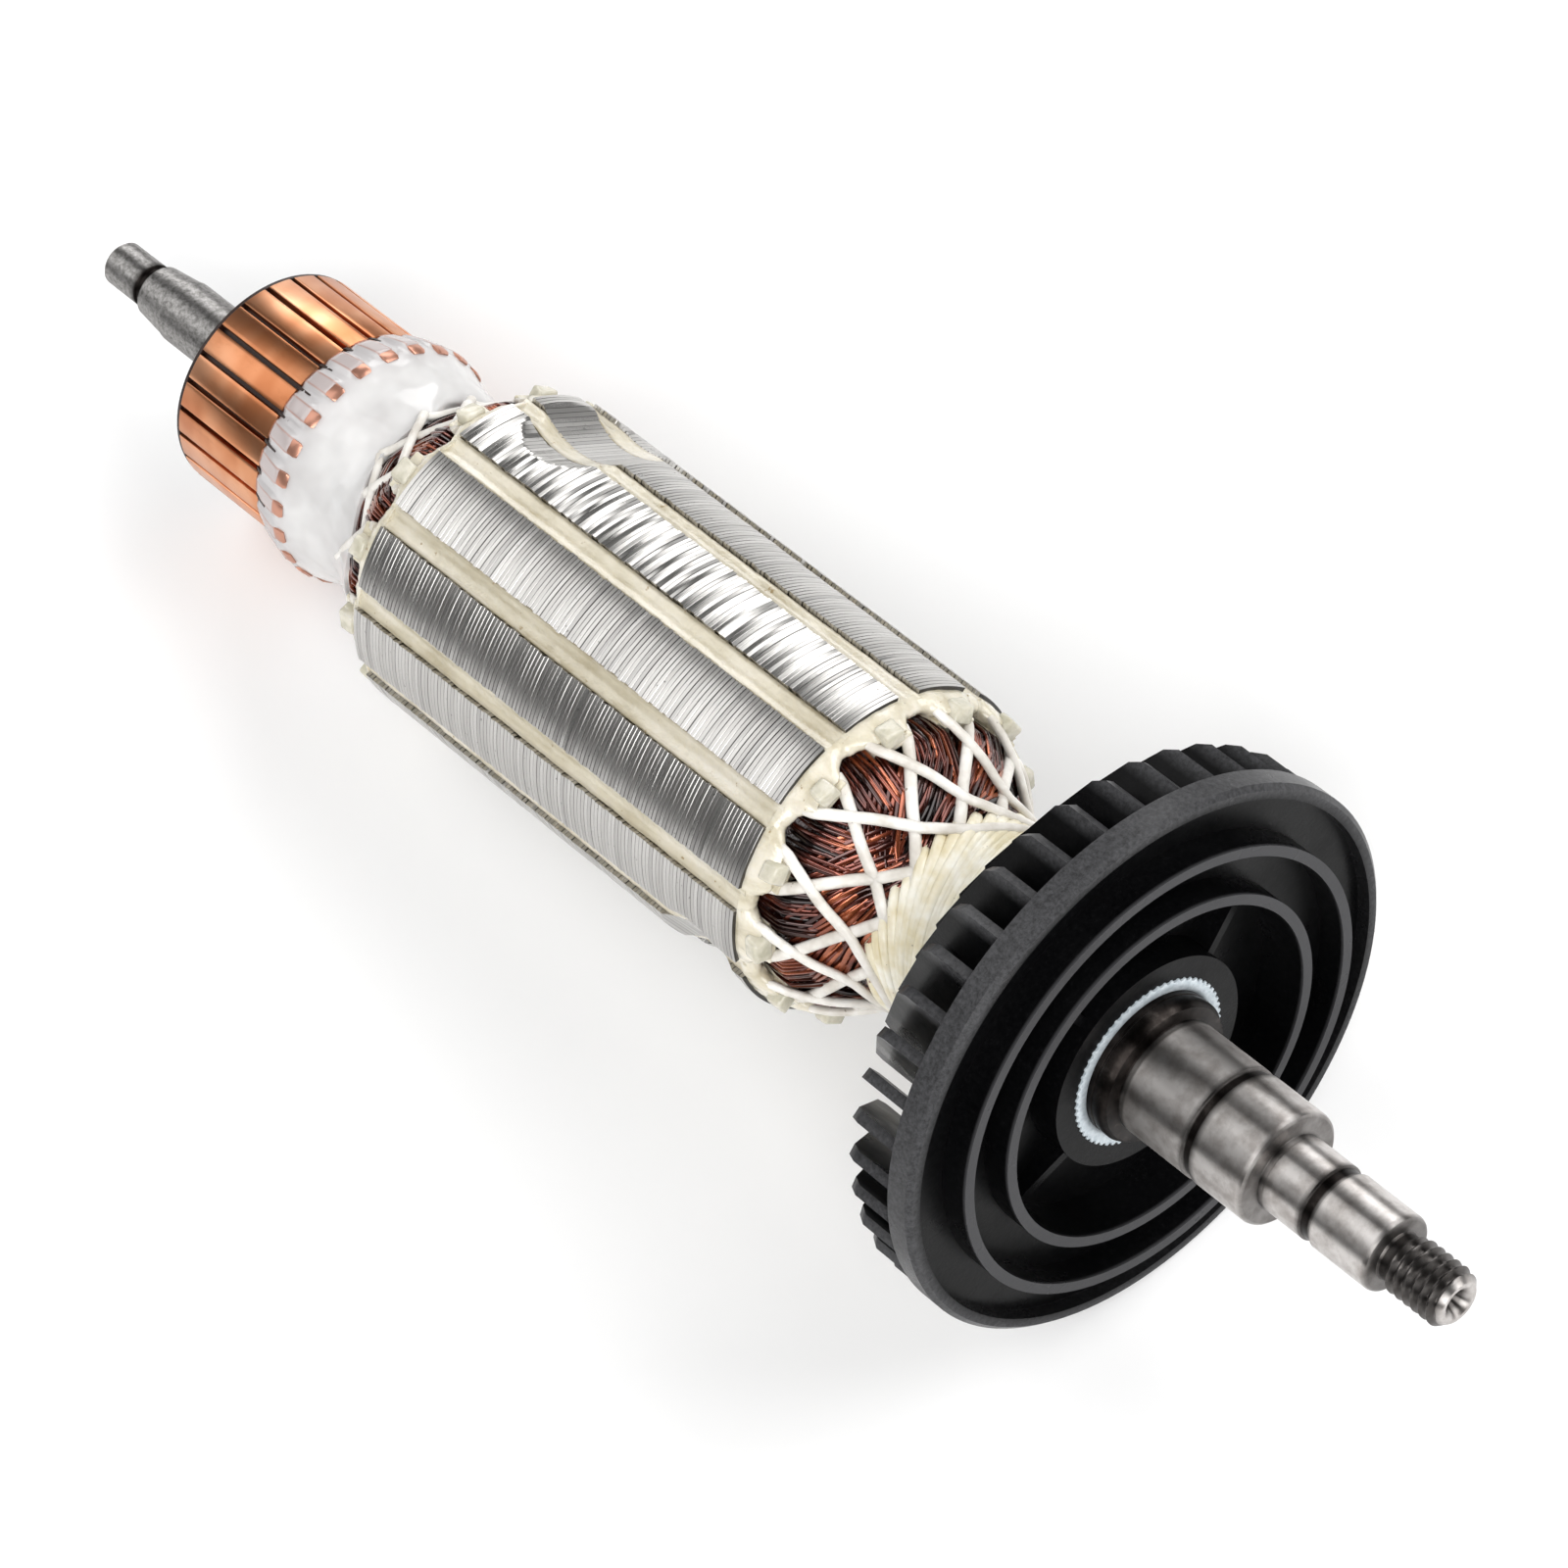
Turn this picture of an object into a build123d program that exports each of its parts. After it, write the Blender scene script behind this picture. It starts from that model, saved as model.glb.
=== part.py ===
from build123d import *
from math import acos, atan, cos, degrees, radians, sin, sqrt
import os

# Armature of a small universal motor, in millimetres.
# Every piece is drawn in the shaft frame: Z runs along the shaft, z = 0 is the commutator end
# of the laminated core, and the threaded drive end points to +Z. Angles are taken about Z, and
# the slots lie at whole multiples of the slot pitch. At the end everything is laid down as it
# rests on a table: on the lowest tooth tips at the commutator end of the core and on the fan.

# Laminated core
core_diameter = 35.4
core_length = 56.5
tooth_count = 12
tooth_width = 3.3
tooth_tip_edge = 1.3
tip_root_radius = 15.2
slot_floor_radius = 10.0
slot_opening = 2.6

# Balance cuts: a round milling cutter sunk into the tooth tips
cutter_radius = 10.3
cut_depth = 2.0
cut_rear_height = 7.6
cut_rear_angle = 48.0
cut_front_height = 50.0
cut_front_angle = 200.0

# Shaft, from the commutator end to the threaded end
shaft_rear_end = -61.2
pilot_diameter = 4.9
pilot_end = -55.8
rear_relief_diameter = 4.4
rear_relief_width = 0.8
lead_in_diameter = 5.8
rear_seat_diameter = 7.0
rear_seat_start = -50.2
core_seat_diameter = 11.0
collar_diameter = 15.2
collar_length = 12.1
collar_end = 96.1
front_seat_diameter = 12.0
front_seat_end = 112.1
front_groove_start = 104.4
front_groove_width = 1.1
gear_seat_diameter = 8.0
gear_seat_end = 125.9
gear_groove_start = 117.4
gear_groove_width = 1.5
groove_depth = 0.25
neck_diameter = 4.9
neck_width = 1.1
thread_diameter = 6.0
shaft_front_end = 133.6
shaft_chamfer = 0.4
centre_hole_diameter = 2.6
centre_hole_depth = 2.4

# Insulation: sleeve on the shaft, star plates on the core ends, slot liners and slot closures
sleeve_wall = 1.5
star_plate_thickness = 2.4
star_ring_clearance = 0.1
saddle_width = 4.4
saddle_top_radius = 17.0
saddle_height = 3.2
liner_wall = 0.35
closure_depth = 0.35

# Winding: twelve coils whose end turns lean round the shaft
end_turn_lean_radius = 4.0
end_turn_lean = 71.0
end_turn_gap = 0.2
head_root_radius = 14.9
head_shoulder = 1.3
front_neck_radius = 10.9
front_neck_height = 7.1
front_head_radius = 9.9
front_head_height = 14.0
rear_head_radius = 11.9
rear_head_height = 5.8

# Lacing cord, drawn tight over the winding heads from saddle to saddle
cord_width = 1.3
cord_thickness = 0.9
cord_pull_radius = 10.6
cord_crossing_radius = 15.0
cord_clearance = 0.12

# Commutator
bar_count = 24
commutator_diameter = 24.2
commutator_outer_end = -35.4
riser_line = -22.6
bar_gap = 0.5
bar_height = 3.6
gap_undercut = 0.8
commutator_turn = 6.5
hub_flange_thickness = 0.5
hook_width = 1.5
hook_thickness = 0.6
hook_length = 5.2

# Resin that covers the leads between the commutator and the winding, as (radius, height)
# above the riser line
resin_bulge_radius = 12.75
resin_neck_radius = 11.8
resin_neck_height = 10.4
resin_end_radius = 12.8

# Cooling fan
fan_diameter = 58.4
fan_rim_wall = 1.4
fan_rim_rear = 91.2
fan_rim_front = 94.0
fan_rim_chamfer = 0.5
fan_rib_front = 95.7
fan_rib_wall = 1.1
fan_outer_rib_diameter = 47.9
fan_inner_rib_diameter = 37.7
fan_disc_thickness = 1.4
fan_inner_floor = 90.2
fan_hub_diameter = 22.5
fan_hub_rear = 86.0
fan_hub_front = 93.8
blade_count = 40
blade_tip = 85.4
blade_rise = 5.2
blade_setback = 0.6
blade_inner_radius = 20.0
blade_thickness = 1.1
blade_lean = 35.0
blade_turn = -1.0
blade_corner = 0.9
gusset_count = 4
gusset_turn = 23.0
gusset_thickness = 1.0
gusset_drop = 1.2
gusset_root = 0.3
bush_wall = 1.25

# Worked out from the sizes above
core_radius = core_diameter / 2
slot_pitch = 360 / tooth_count
bar_pitch = 360 / bar_count
sleeve_radius = core_seat_diameter / 2 + sleeve_wall
fan_outer_floor = fan_rim_rear + fan_disc_thickness
blade_outer_radius = fan_diameter / 2 - blade_setback
bush_radius = collar_diameter / 2 + bush_wall
front_head_start = core_length + star_plate_thickness
rear_head_start = -star_plate_thickness
front_head_end = front_head_start + front_head_height
rear_head_end = rear_head_start - rear_head_height
bar_inner_radius = commutator_diameter / 2 - bar_height
collar_start = collar_end - collar_length
hub_outer_end = commutator_outer_end - hub_flange_thickness


def outline(points):
    return Polygon(*points, align=None)


def turned(points):
    """A body of revolution about Z from its (radius, height) outline."""
    return revolve(Plane.XZ * outline(points), Axis.Z)


def prism(section, start, end):
    """A straight prism along Z between two heights, from its flat section."""
    return extrude(Pos(0, 0, start) * section, amount=end - start, dir=(0, 0, 1))


def plate(points, thickness):
    """A flat plate standing on the shaft line, from its (radius, height) outline."""
    return extrude(Plane.XZ * outline(points), amount=thickness / 2, both=True)


def around(shape, count, first=0.0):
    """Copies of a shape turned about Z, evenly spaced."""
    return [Rot(0, 0, first + 360 / count * i) * shape for i in range(count)]


def mirrored(points):
    """A flat section closed by its own mirror image across the radial line."""
    return outline(points + [(u, -v) for u, v in reversed(points)])


def flank(u, half_angle, offset):
    """Half width at radius u between two walls that stand offset from radial lines."""
    return (u * sin(radians(half_angle)) - offset) / cos(radians(half_angle))


# Slot geometry, shared by the core, the liners, the closures and the coils


def slot_half_width(u, wall=0.0):
    return flank(u, slot_pitch / 2, tooth_width / 2 + wall)


def tip_edge_radius():
    return sqrt(core_radius**2 - (slot_opening / 2) ** 2) - tooth_tip_edge


def trough(wall):
    """Lower part of a slot, inset by a wall."""
    floor = slot_floor_radius + wall
    return mirrored([(u, slot_half_width(u, wall)) for u in (floor, tip_root_radius)])


def mouth(top):
    """Upper part of a slot, under the tooth tips and out to a given radius."""
    points = [
        (tip_root_radius, slot_half_width(tip_root_radius)),
        (tip_edge_radius(), slot_opening / 2),
        (top, slot_opening / 2),
    ]
    return mirrored(points)


def balance_cutter(angle, height):
    """The milling cutter at full depth, its axis across the tooth."""
    centre = core_radius - cut_depth + cutter_radius
    body = Rot(90, 0, 0) * Cylinder(cutter_radius, 2 * core_radius)
    return Rot(0, 0, angle) * Pos(centre, 0, height) * body


def balance_cutters():
    rear = balance_cutter(cut_rear_angle, cut_rear_height)
    front = balance_cutter(cut_front_angle, cut_front_height)
    return [rear, front]


def core_stack():
    """Laminated core: twelve T-shaped teeth round a yoke, with two balance cuts."""
    slot = trough(0) + mouth(core_radius + 1)
    section = Circle(core_radius) - Circle(sleeve_radius) - around(slot, tooth_count)
    return prism(section, 0, core_length) - balance_cutters()


def slot_liner(index):
    """Folded insulating paper, a channel standing out of both ends of its slot."""
    channel = prism(trough(0) - trough(liner_wall), rear_head_start, front_head_start)
    return Rot(0, 0, slot_pitch * index) * channel


def slot_closures():
    """Strips that close the slots under the tooth tips, cut where the balance cuts cross."""
    strip = prism(mouth(core_radius - closure_depth), rear_head_start, front_head_start)
    return [piece - balance_cutters() for piece in around(strip, tooth_count)]


def star_plate(start, direction):
    """Star-shaped end plate with a saddle at each tooth end that holds the lacing."""
    half = slot_pitch / 2
    root = slot_half_width(tip_root_radius)
    root_height = tip_root_radius * cos(radians(half)) + root * sin(radians(half))
    edge = (tip_edge_radius(), slot_opening / 2)
    edge_height = edge[0] * cos(radians(half)) + edge[1] * sin(radians(half))
    edge_width = edge[0] * sin(radians(half)) - edge[1] * cos(radians(half))
    share = (saddle_width - tooth_width) / (2 * edge_width - tooth_width)
    shoulder = root_height + share * (edge_height - root_height)
    saddle = [
        (head_root_radius + star_ring_clearance, tooth_width / 2),
        (root_height, tooth_width / 2),
        (shoulder, saddle_width / 2),
        (saddle_top_radius, saddle_width / 2),
    ]
    arm = [(sleeve_radius + sleeve_wall, tooth_width / 2)] + saddle[1:]
    ends = sorted([start, start + direction * star_plate_thickness])
    top = sorted([start, start + direction * saddle_height])
    ring_radius = slot_floor_radius - star_ring_clearance
    ring = Rot(0, 0, half) * RegularPolygon(ring_radius, tooth_count, major_radius=False)
    arms = around(mirrored(arm), tooth_count, half)
    star = prism(ring + arms - Circle(sleeve_radius), *ends)
    return star + around(prism(mirrored(saddle), *top), tooth_count, half)


def leaning_sector(lean):
    """Outline of one end turn seen along the shaft, between two lines tangent to a circle."""
    reach = 2 * core_radius
    points = []
    for side in (-1, 1):
        angle = radians(side * slot_pitch / 2 - end_turn_lean)
        offset = end_turn_lean_radius + end_turn_gap * (side + 1) / 2
        foot = (offset * cos(angle), offset * sin(angle))
        end = (foot[0] - reach * sin(angle), foot[1] + reach * cos(angle))
        points.extend([foot, end] if side < 0 else [end, foot])
    return outline([(x, lean * y) for x, y in points])


def head_profile(direction):
    """Outer line of a winding head as (radius, distance from the star plate)."""
    root = [(head_root_radius, 0), (head_root_radius, head_shoulder)]
    if direction > 0:
        neck = (front_neck_radius, front_neck_height)
        return root + [neck, (front_head_radius, front_head_height)]
    return root + [(rear_head_radius, rear_head_height)]


def head(direction):
    """The whole winding head on one end of the core, as one turned body."""
    start = front_head_start if direction > 0 else rear_head_start
    points = [(radius, start + direction * away) for radius, away in head_profile(direction)]
    ends = [(sleeve_radius, points[-1][1]), (sleeve_radius, start)]
    return turned(points + ends)


def coils():
    """Each coil fills its slot and spreads into a leaning end turn on both heads."""
    side = prism(trough(liner_wall), rear_head_start, front_head_start)
    front_sector = prism(leaning_sector(1), front_head_start, front_head_end)
    rear_sector = prism(leaning_sector(-1), rear_head_end, rear_head_start)
    front_turn = head(1) & front_sector
    rear_turn = head(-1) & rear_sector
    return around(side + front_turn + rear_turn, tooth_count)


def cord_line(direction, layer, line):
    """Points of a cord edge in its own sheet, a layer above the head and a line off the axis."""
    foot = saddle_height - star_plate_thickness
    (r0, h0), (r1, h1) = head_profile(direction)[1:3]
    slope = (r0 - r1) / (h1 - h0)
    points = []
    for away in (foot, (foot + h1) / 2, h1):
        radius = r1 + slope * (h1 - away) + layer
        points.append((sqrt(radius**2 - line**2), away))
    return points


def cord(direction, side):
    """One flat cord, from its saddle down the slope of the head."""
    start = front_head_start if direction > 0 else rear_head_start
    under = cord_line(direction, cord_clearance, cord_pull_radius - cord_width / 2)
    over = cord_line(direction, cord_thickness, cord_pull_radius)
    points = [(side * s, start + direction * away) for s, away in under + over[::-1]]
    face = Pos(cord_pull_radius, 0, 0) * (Plane.YZ * outline(points))
    return extrude(face, amount=cord_width / 2, both=True)


def crossed_cords(direction):
    """The cords of one head: at each tooth two cross over the saddle."""
    turn = degrees(acos(cord_pull_radius / cord_crossing_radius))
    pair = Rot(0, 0, -turn) * cord(direction, 1) + Rot(0, 0, turn) * cord(direction, -1)
    return around(pair, tooth_count, slot_pitch / 2)


def cord_band():
    """Turns of cord wound round the narrow part of the front head."""
    inner = head_profile(1)[2:]
    outer = [(radius + cord_thickness, away) for radius, away in reversed(inner)]
    return turned([(radius, front_head_start + away) for radius, away in inner + outer])


def lacing_front():
    """Crossed cords from the saddles to the neck of the front head, and the turns round it."""
    return Compound(crossed_cords(1) + [cord_band()])


def lacing_rear():
    """Crossed cords over the rear head, until they pass under the resin."""
    return Compound(crossed_cords(-1))


def shaft_sleeve():
    """Insulating tube between the shaft and everything wound or pressed on it."""
    section = Circle(sleeve_radius) - Circle(core_seat_diameter / 2)
    return prism(section, rear_head_end, collar_start)


def hook():
    """Tang that rises from the end of a bar and lies back over its wire, on the resin."""
    foot = commutator_diameter / 2
    tip = resin_bulge_radius + hook_thickness
    points = [
        (foot, riser_line),
        (tip, riser_line + hook_length),
        (tip - hook_thickness, riser_line + hook_length),
        (foot - hook_thickness, riser_line),
    ]
    return plate(points, hook_width)


def commutator_bars():
    """Copper bars between parallel gaps, each with its hook."""
    reach = (bar_inner_radius, commutator_diameter)
    wedge = [(u, flank(u, bar_pitch / 2, bar_gap / 2)) for u in reach]
    section = Circle(commutator_diameter / 2) & mirrored(wedge)
    bar = prism(section, commutator_outer_end, riser_line) + hook()
    return around(bar, bar_count, commutator_turn)


def commutator_hub():
    """Moulded hub with flats under the bars, webs between them and a flange at the outer end."""
    gap_turn = commutator_turn + bar_pitch / 2
    bore = Circle(core_seat_diameter / 2)
    web_top = commutator_diameter / 2 - gap_undercut
    web = mirrored([(bar_inner_radius, bar_gap / 2), (web_top, bar_gap / 2)])
    seat = Rot(0, 0, gap_turn) * RegularPolygon(bar_inner_radius, bar_count, major_radius=False)
    body = prism(seat + around(web, bar_count, gap_turn) - bore, commutator_outer_end, riser_line)
    rim = Rot(0, 0, gap_turn) * RegularPolygon(web_top, bar_count)
    return body + prism(rim - bore, hub_outer_end, commutator_outer_end)


def resin_collar():
    """Cast resin over the leads, from the bars to the winding head, with the hooks on it."""
    return turned([
        (commutator_diameter / 2 - hook_thickness, riser_line),
        (resin_bulge_radius, riser_line + hook_length),
        (resin_neck_radius, riser_line + resin_neck_height),
        (resin_end_radius, rear_head_end),
        (core_seat_diameter / 2, rear_head_end),
        (core_seat_diameter / 2, riser_line),
    ])


def shaft():
    """Stepped shaft: pilot, rear bearing seat, core seat, collar, front seats and thread."""
    pilot = pilot_diameter / 2
    relief = rear_relief_diameter / 2
    seat = front_seat_diameter / 2
    gear = gear_seat_diameter / 2
    neck = neck_diameter / 2
    thread = thread_diameter / 2
    hole = centre_hole_diameter / 2
    points = [
        (0, shaft_rear_end),
        (pilot - shaft_chamfer, shaft_rear_end),
        (pilot, shaft_rear_end + shaft_chamfer),
        (pilot, pilot_end),
        (relief, pilot_end),
        (relief, pilot_end + rear_relief_width),
        (lead_in_diameter / 2, pilot_end + rear_relief_width + shaft_chamfer),
        (rear_seat_diameter / 2, rear_seat_start),
        (rear_seat_diameter / 2, hub_outer_end - shaft_chamfer),
        (rear_seat_diameter / 2 + shaft_chamfer, hub_outer_end),
        (core_seat_diameter / 2, hub_outer_end),
        (core_seat_diameter / 2, collar_start),
        (collar_diameter / 2, collar_start),
        (collar_diameter / 2, collar_end - shaft_chamfer),
        (collar_diameter / 2 - shaft_chamfer, collar_end),
        (seat, collar_end),
    ]
    points += groove(seat, front_groove_start, front_groove_width)
    points += [
        (seat, front_seat_end - shaft_chamfer),
        (seat - shaft_chamfer, front_seat_end),
        (gear, front_seat_end),
    ]
    points += groove(gear, gear_groove_start, gear_groove_width)
    points += [
        (gear, gear_seat_end - shaft_chamfer),
        (gear - shaft_chamfer, gear_seat_end),
        (neck, gear_seat_end),
        (neck, gear_seat_end + neck_width),
        (thread, gear_seat_end + neck_width + shaft_chamfer),
        (thread, shaft_front_end - 2 * shaft_chamfer),
        (thread - 2 * shaft_chamfer, shaft_front_end),
        (hole, shaft_front_end),
        (0, shaft_front_end - centre_hole_depth),
    ]
    return turned(points)


def groove(radius, start, width):
    """Outline of a shallow groove in a ground seat."""
    floor = radius - groove_depth
    return [(radius, start), (floor, start), (floor, start + width), (radius, start + width)]


def fan_bush():
    """Metal bush moulded into the fan hub and pressed on the shaft collar."""
    section = Circle(bush_radius) - Circle(collar_diameter / 2)
    return prism(section, fan_hub_rear, fan_hub_front)


def rib_outline(diameter, floor_inside, floor_outside):
    """Outline of a ring rib that stands proud of the fan disc."""
    outer = diameter / 2
    inner = outer - fan_rib_wall
    return [(inner, floor_inside), (inner, fan_rib_front), (outer, fan_rib_front), (outer, floor_outside)]


def blade():
    """Straight blade behind the disc, leaning back from the radial direction and taller at its root."""
    reach = (blade_outer_radius - blade_inner_radius) / cos(radians(blade_lean))
    points = [
        (-reach, blade_tip - blade_rise),
        (-reach, fan_rim_rear),
        (0, fan_rim_rear),
        (0, blade_tip),
    ]
    body = plate(points, blade_thickness)
    body = chamfer(body.edges().filter_by(Axis.Y).sort_by(Axis.Z)[:2], blade_corner)
    return Pos(blade_outer_radius, 0, 0) * Rot(0, 0, -blade_lean) * body


def gusset():
    """Small triangular web between the fan hub and the inner rib."""
    hub = fan_hub_diameter / 2 - gusset_root
    rib = fan_inner_rib_diameter / 2 - fan_rib_wall + gusset_root
    points = [
        (hub, fan_inner_floor),
        (hub, fan_hub_front - gusset_drop),
        (rib, fan_inner_floor + gusset_drop),
        (rib, fan_inner_floor),
    ]
    return plate(points, gusset_thickness)


def fan():
    """Moulded fan: hub, dished disc with ring ribs in front, rim, and blades behind."""
    rim = fan_diameter / 2
    hub = fan_hub_diameter / 2
    points = [
        (bush_radius, fan_hub_rear),
        (bush_radius, fan_hub_front),
        (hub, fan_hub_front),
        (hub, fan_inner_floor),
    ]
    points += rib_outline(fan_inner_rib_diameter, fan_inner_floor, fan_outer_floor)
    points += rib_outline(fan_outer_rib_diameter, fan_outer_floor, fan_outer_floor)
    points += [
        (rim - fan_rim_wall, fan_outer_floor),
        (rim - fan_rim_wall, fan_rim_front),
        (rim - fan_rim_chamfer, fan_rim_front),
        (rim, fan_rim_front - fan_rim_chamfer),
        (rim, fan_rim_rear),
        (blade_inner_radius, fan_rim_rear),
        (fan_inner_rib_diameter / 2, fan_inner_floor - fan_disc_thickness),
        (hub, fan_inner_floor - fan_disc_thickness),
        (hub, fan_hub_rear),
    ]
    body = turned(points)
    blades = around(blade(), blade_count, blade_turn)
    return body + blades + around(gusset(), gusset_count, gusset_turn)


def blade_reach():
    """Largest radius of the fan blades, at the leading corner of their outer ends."""
    half = blade_thickness / 2
    out, across = half * sin(radians(blade_lean)), half * cos(radians(blade_lean))
    return sqrt((blade_outer_radius + out) ** 2 + across**2)


def resting_place():
    """Lays the shaft frame down: on two tooth tips of the core and on the fan, rim or blades."""
    lowest = -sqrt(core_radius**2 - (slot_opening / 2) ** 2)
    supports = [(fan_diameter / 2, fan_rim_rear), (blade_reach(), blade_tip + blade_corner)]
    tilt = max(atan((radius + lowest) / height) for radius, height in supports)
    origin = (-shaft_middle(tilt), 0, -lowest * cos(tilt))
    return Plane(origin, x_dir=(0, 1, 0), z_dir=(cos(tilt), 0, sin(tilt))).location


def shaft_middle(tilt):
    """Halfway along the table between the two ends of the shaft."""
    rear_radius = pilot_diameter / 2 - shaft_chamfer
    front_radius = thread_diameter / 2 - 2 * shaft_chamfer
    rear = shaft_rear_end * cos(tilt) - rear_radius * sin(tilt)
    front = shaft_front_end * cos(tilt) + front_radius * sin(tilt)
    return (rear + front) / 2


def numbered(name, shapes):
    return {f"{name}_{i + 1:02d}": shape for i, shape in enumerate(shapes)}


def main():
    nodes = {
        "shaft": shaft(),
        "shaft_sleeve": shaft_sleeve(),
        "core_stack": core_stack(),
        "end_plate_rear": star_plate(0, -1),
        "end_plate_front": star_plate(core_length, 1),
        "slot_closures": Compound(slot_closures()),
        "commutator_hub": commutator_hub(),
        "resin_collar": resin_collar(),
        "lacing_rear": lacing_rear(),
        "lacing_front": lacing_front(),
        "fan": fan(),
        "fan_bush": fan_bush(),
    }
    nodes.update(numbered("slot_liner", [slot_liner(i) for i in range(tooth_count)]))
    nodes.update(numbered("coil", coils()))
    nodes.update(numbered("commutator_bar", commutator_bars()))
    place = resting_place()
    os.makedirs("parts", exist_ok=True)
    for name, shape in nodes.items():
        export_step(place * shape, f"parts/{name}.step")
    print(len(nodes), "nodes")


main()
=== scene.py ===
import math
import random
import bpy
from mathutils import Matrix, Vector, noise


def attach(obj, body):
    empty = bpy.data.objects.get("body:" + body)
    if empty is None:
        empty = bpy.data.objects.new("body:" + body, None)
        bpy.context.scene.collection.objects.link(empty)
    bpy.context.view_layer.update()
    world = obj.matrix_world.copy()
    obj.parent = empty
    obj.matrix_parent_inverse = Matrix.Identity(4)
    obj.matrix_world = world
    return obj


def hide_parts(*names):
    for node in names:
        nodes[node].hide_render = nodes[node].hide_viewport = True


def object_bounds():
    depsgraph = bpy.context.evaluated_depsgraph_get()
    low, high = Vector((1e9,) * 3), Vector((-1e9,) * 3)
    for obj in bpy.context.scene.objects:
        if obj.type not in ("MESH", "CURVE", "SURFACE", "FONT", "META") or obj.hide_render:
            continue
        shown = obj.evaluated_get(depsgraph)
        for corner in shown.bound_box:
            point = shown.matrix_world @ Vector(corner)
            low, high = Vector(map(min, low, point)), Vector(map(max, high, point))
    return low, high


# Armature of a small universal motor, dressed over its CAD frame.
# Every new piece is modelled in millimetres in the shaft frame: Z runs along the shaft towards
# the threaded end, z = 0 is the commutator end of the laminated core, and angles are about Z.
# At the end each piece is laid down as the CAD lies and turned into metres.

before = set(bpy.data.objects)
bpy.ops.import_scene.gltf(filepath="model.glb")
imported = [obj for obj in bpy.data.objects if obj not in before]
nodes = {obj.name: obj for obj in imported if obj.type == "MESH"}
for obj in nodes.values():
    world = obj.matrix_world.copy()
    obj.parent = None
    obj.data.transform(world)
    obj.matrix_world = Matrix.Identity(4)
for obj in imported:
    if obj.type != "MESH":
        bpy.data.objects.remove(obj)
cad_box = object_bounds()
random.seed(12)

# How the shaft frame lies on the table
TILT = math.radians(7.43811)
SHAFT_MIDDLE = 35.90510
SHAFT_LIFT = 17.50366

# Sizes in millimetres, as in the CAD, and a millimetre in metres
MM = 0.001
CORE_RADIUS = 17.7
CORE_LENGTH = 56.5
TEETH = 12
PITCH = 360 / TEETH
TOOTH_WIDTH = 3.3
SLOT_OPENING = 2.6
TIP_EDGE = 1.3
TIP_ROOT_RADIUS = 15.2
SLOT_FLOOR = 10.0
PLATE = 2.4
FRONT_FACE = CORE_LENGTH + PLATE
REAR_FACE = -PLATE
BARS = 24
BAR_TURN = 6.5
BAR_PITCH = 360 / BARS
COMMUTATOR_RADIUS = 12.1
BAR_START = -35.4
RISER = -22.6
TANG_BARE = -18.5
SHEET_THICKNESS = 0.5
RIM_RADIUS = 29.2
RIB_FRONT = 95.7
SHAFT_START = -61.2
SHAFT_END = 133.6

# Where the shaft is oily, as heights from and to with a share, and how unevenly the sheets of each
# tooth lie, from the tooth at 15 degrees on
OILY = ((-55.9, -54.9, 1), (83.0, 96.6, 1), (104.35, 105.55, 1), (111.8, 113.0, 0.9), (117.35, 118.95, 1),
        (125.8, 127.2, 0.9), (127.4, 132.9, 0.85))
TOOTH_UNEVEN = (0.2, 0.08, 0.55, 0.01, 0.02, 0.05, 0.25, 0.1, 0.5, 0.1, 0.4, 0.15)


def lie_matrix():
    """From millimetres in the shaft frame to metres on the table."""
    c, s = math.cos(TILT), math.sin(TILT)
    turn = Matrix(((0, -s, c), (1, 0, 0), (0, c, s))).to_4x4()
    place = Matrix.Translation((-SHAFT_MIDDLE / 1000, 0, SHAFT_LIFT / 1000))
    return place @ turn @ Matrix.Scale(0.001, 4)


LIE = lie_matrix()
AXIS = (math.cos(TILT), 0.0, math.sin(TILT))


# Modelling


def name_piece(name):
    piece = bpy.context.object
    piece.name = name
    piece.data.name = name
    return piece


def nothing_selected():
    bpy.ops.object.select_all(action="DESELECT")


def placed(name, data):
    """A new object of the scene with this mesh, lamp or camera."""
    thing = bpy.data.objects.new(name, data)
    bpy.context.scene.collection.objects.link(thing)
    return thing


def pick(piece):
    nothing_selected()
    piece.select_set(True)
    bpy.context.view_layer.objects.active = piece


def edit(piece):
    pick(piece)
    bpy.ops.object.mode_set(mode="EDIT")
    bpy.ops.mesh.select_all(action="SELECT")


def done():
    bpy.ops.object.mode_set(mode="OBJECT")


def clean(piece, gap=0.001):
    """Merges doubles and turns all faces outwards."""
    edit(piece)
    bpy.ops.mesh.remove_doubles(threshold=gap)
    bpy.ops.mesh.normals_make_consistent(inside=False)
    done()


def ring(name, radius, height, sides):
    nothing_selected()
    bpy.ops.mesh.primitive_circle_add(vertices=sides, radius=radius, location=(0, 0, height))
    piece = name_piece(name)
    bpy.ops.object.transform_apply(location=True, rotation=True, scale=True)
    return piece


def turned(name, line, sides=96, closed=False):
    """A turned body: a ring drawn out along its (radius, height) line. Ends are filled unless closed."""
    radius, height = line[0]
    piece = ring(name, radius, height, sides)
    edit(piece)
    if not closed:
        bpy.ops.mesh.edge_face_add()
    for r, z in line[1:] + ([line[0]] if closed else []):
        bpy.ops.mesh.extrude_region_move(TRANSFORM_OT_translate={"value": (0, 0, z - height)})
        share = r / radius
        bpy.ops.transform.resize(value=(share, share, 1), center_override=(0, 0, z))
        radius, height = r, z
    done()
    clean(piece)
    return piece


def modify(piece, kind, **settings):
    pick(piece)
    modifier = piece.modifiers.new(kind.lower(), kind)
    for key, value in settings.items():
        setattr(modifier, key, value)
    bpy.ops.object.modifier_apply(modifier=modifier.name)


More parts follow.
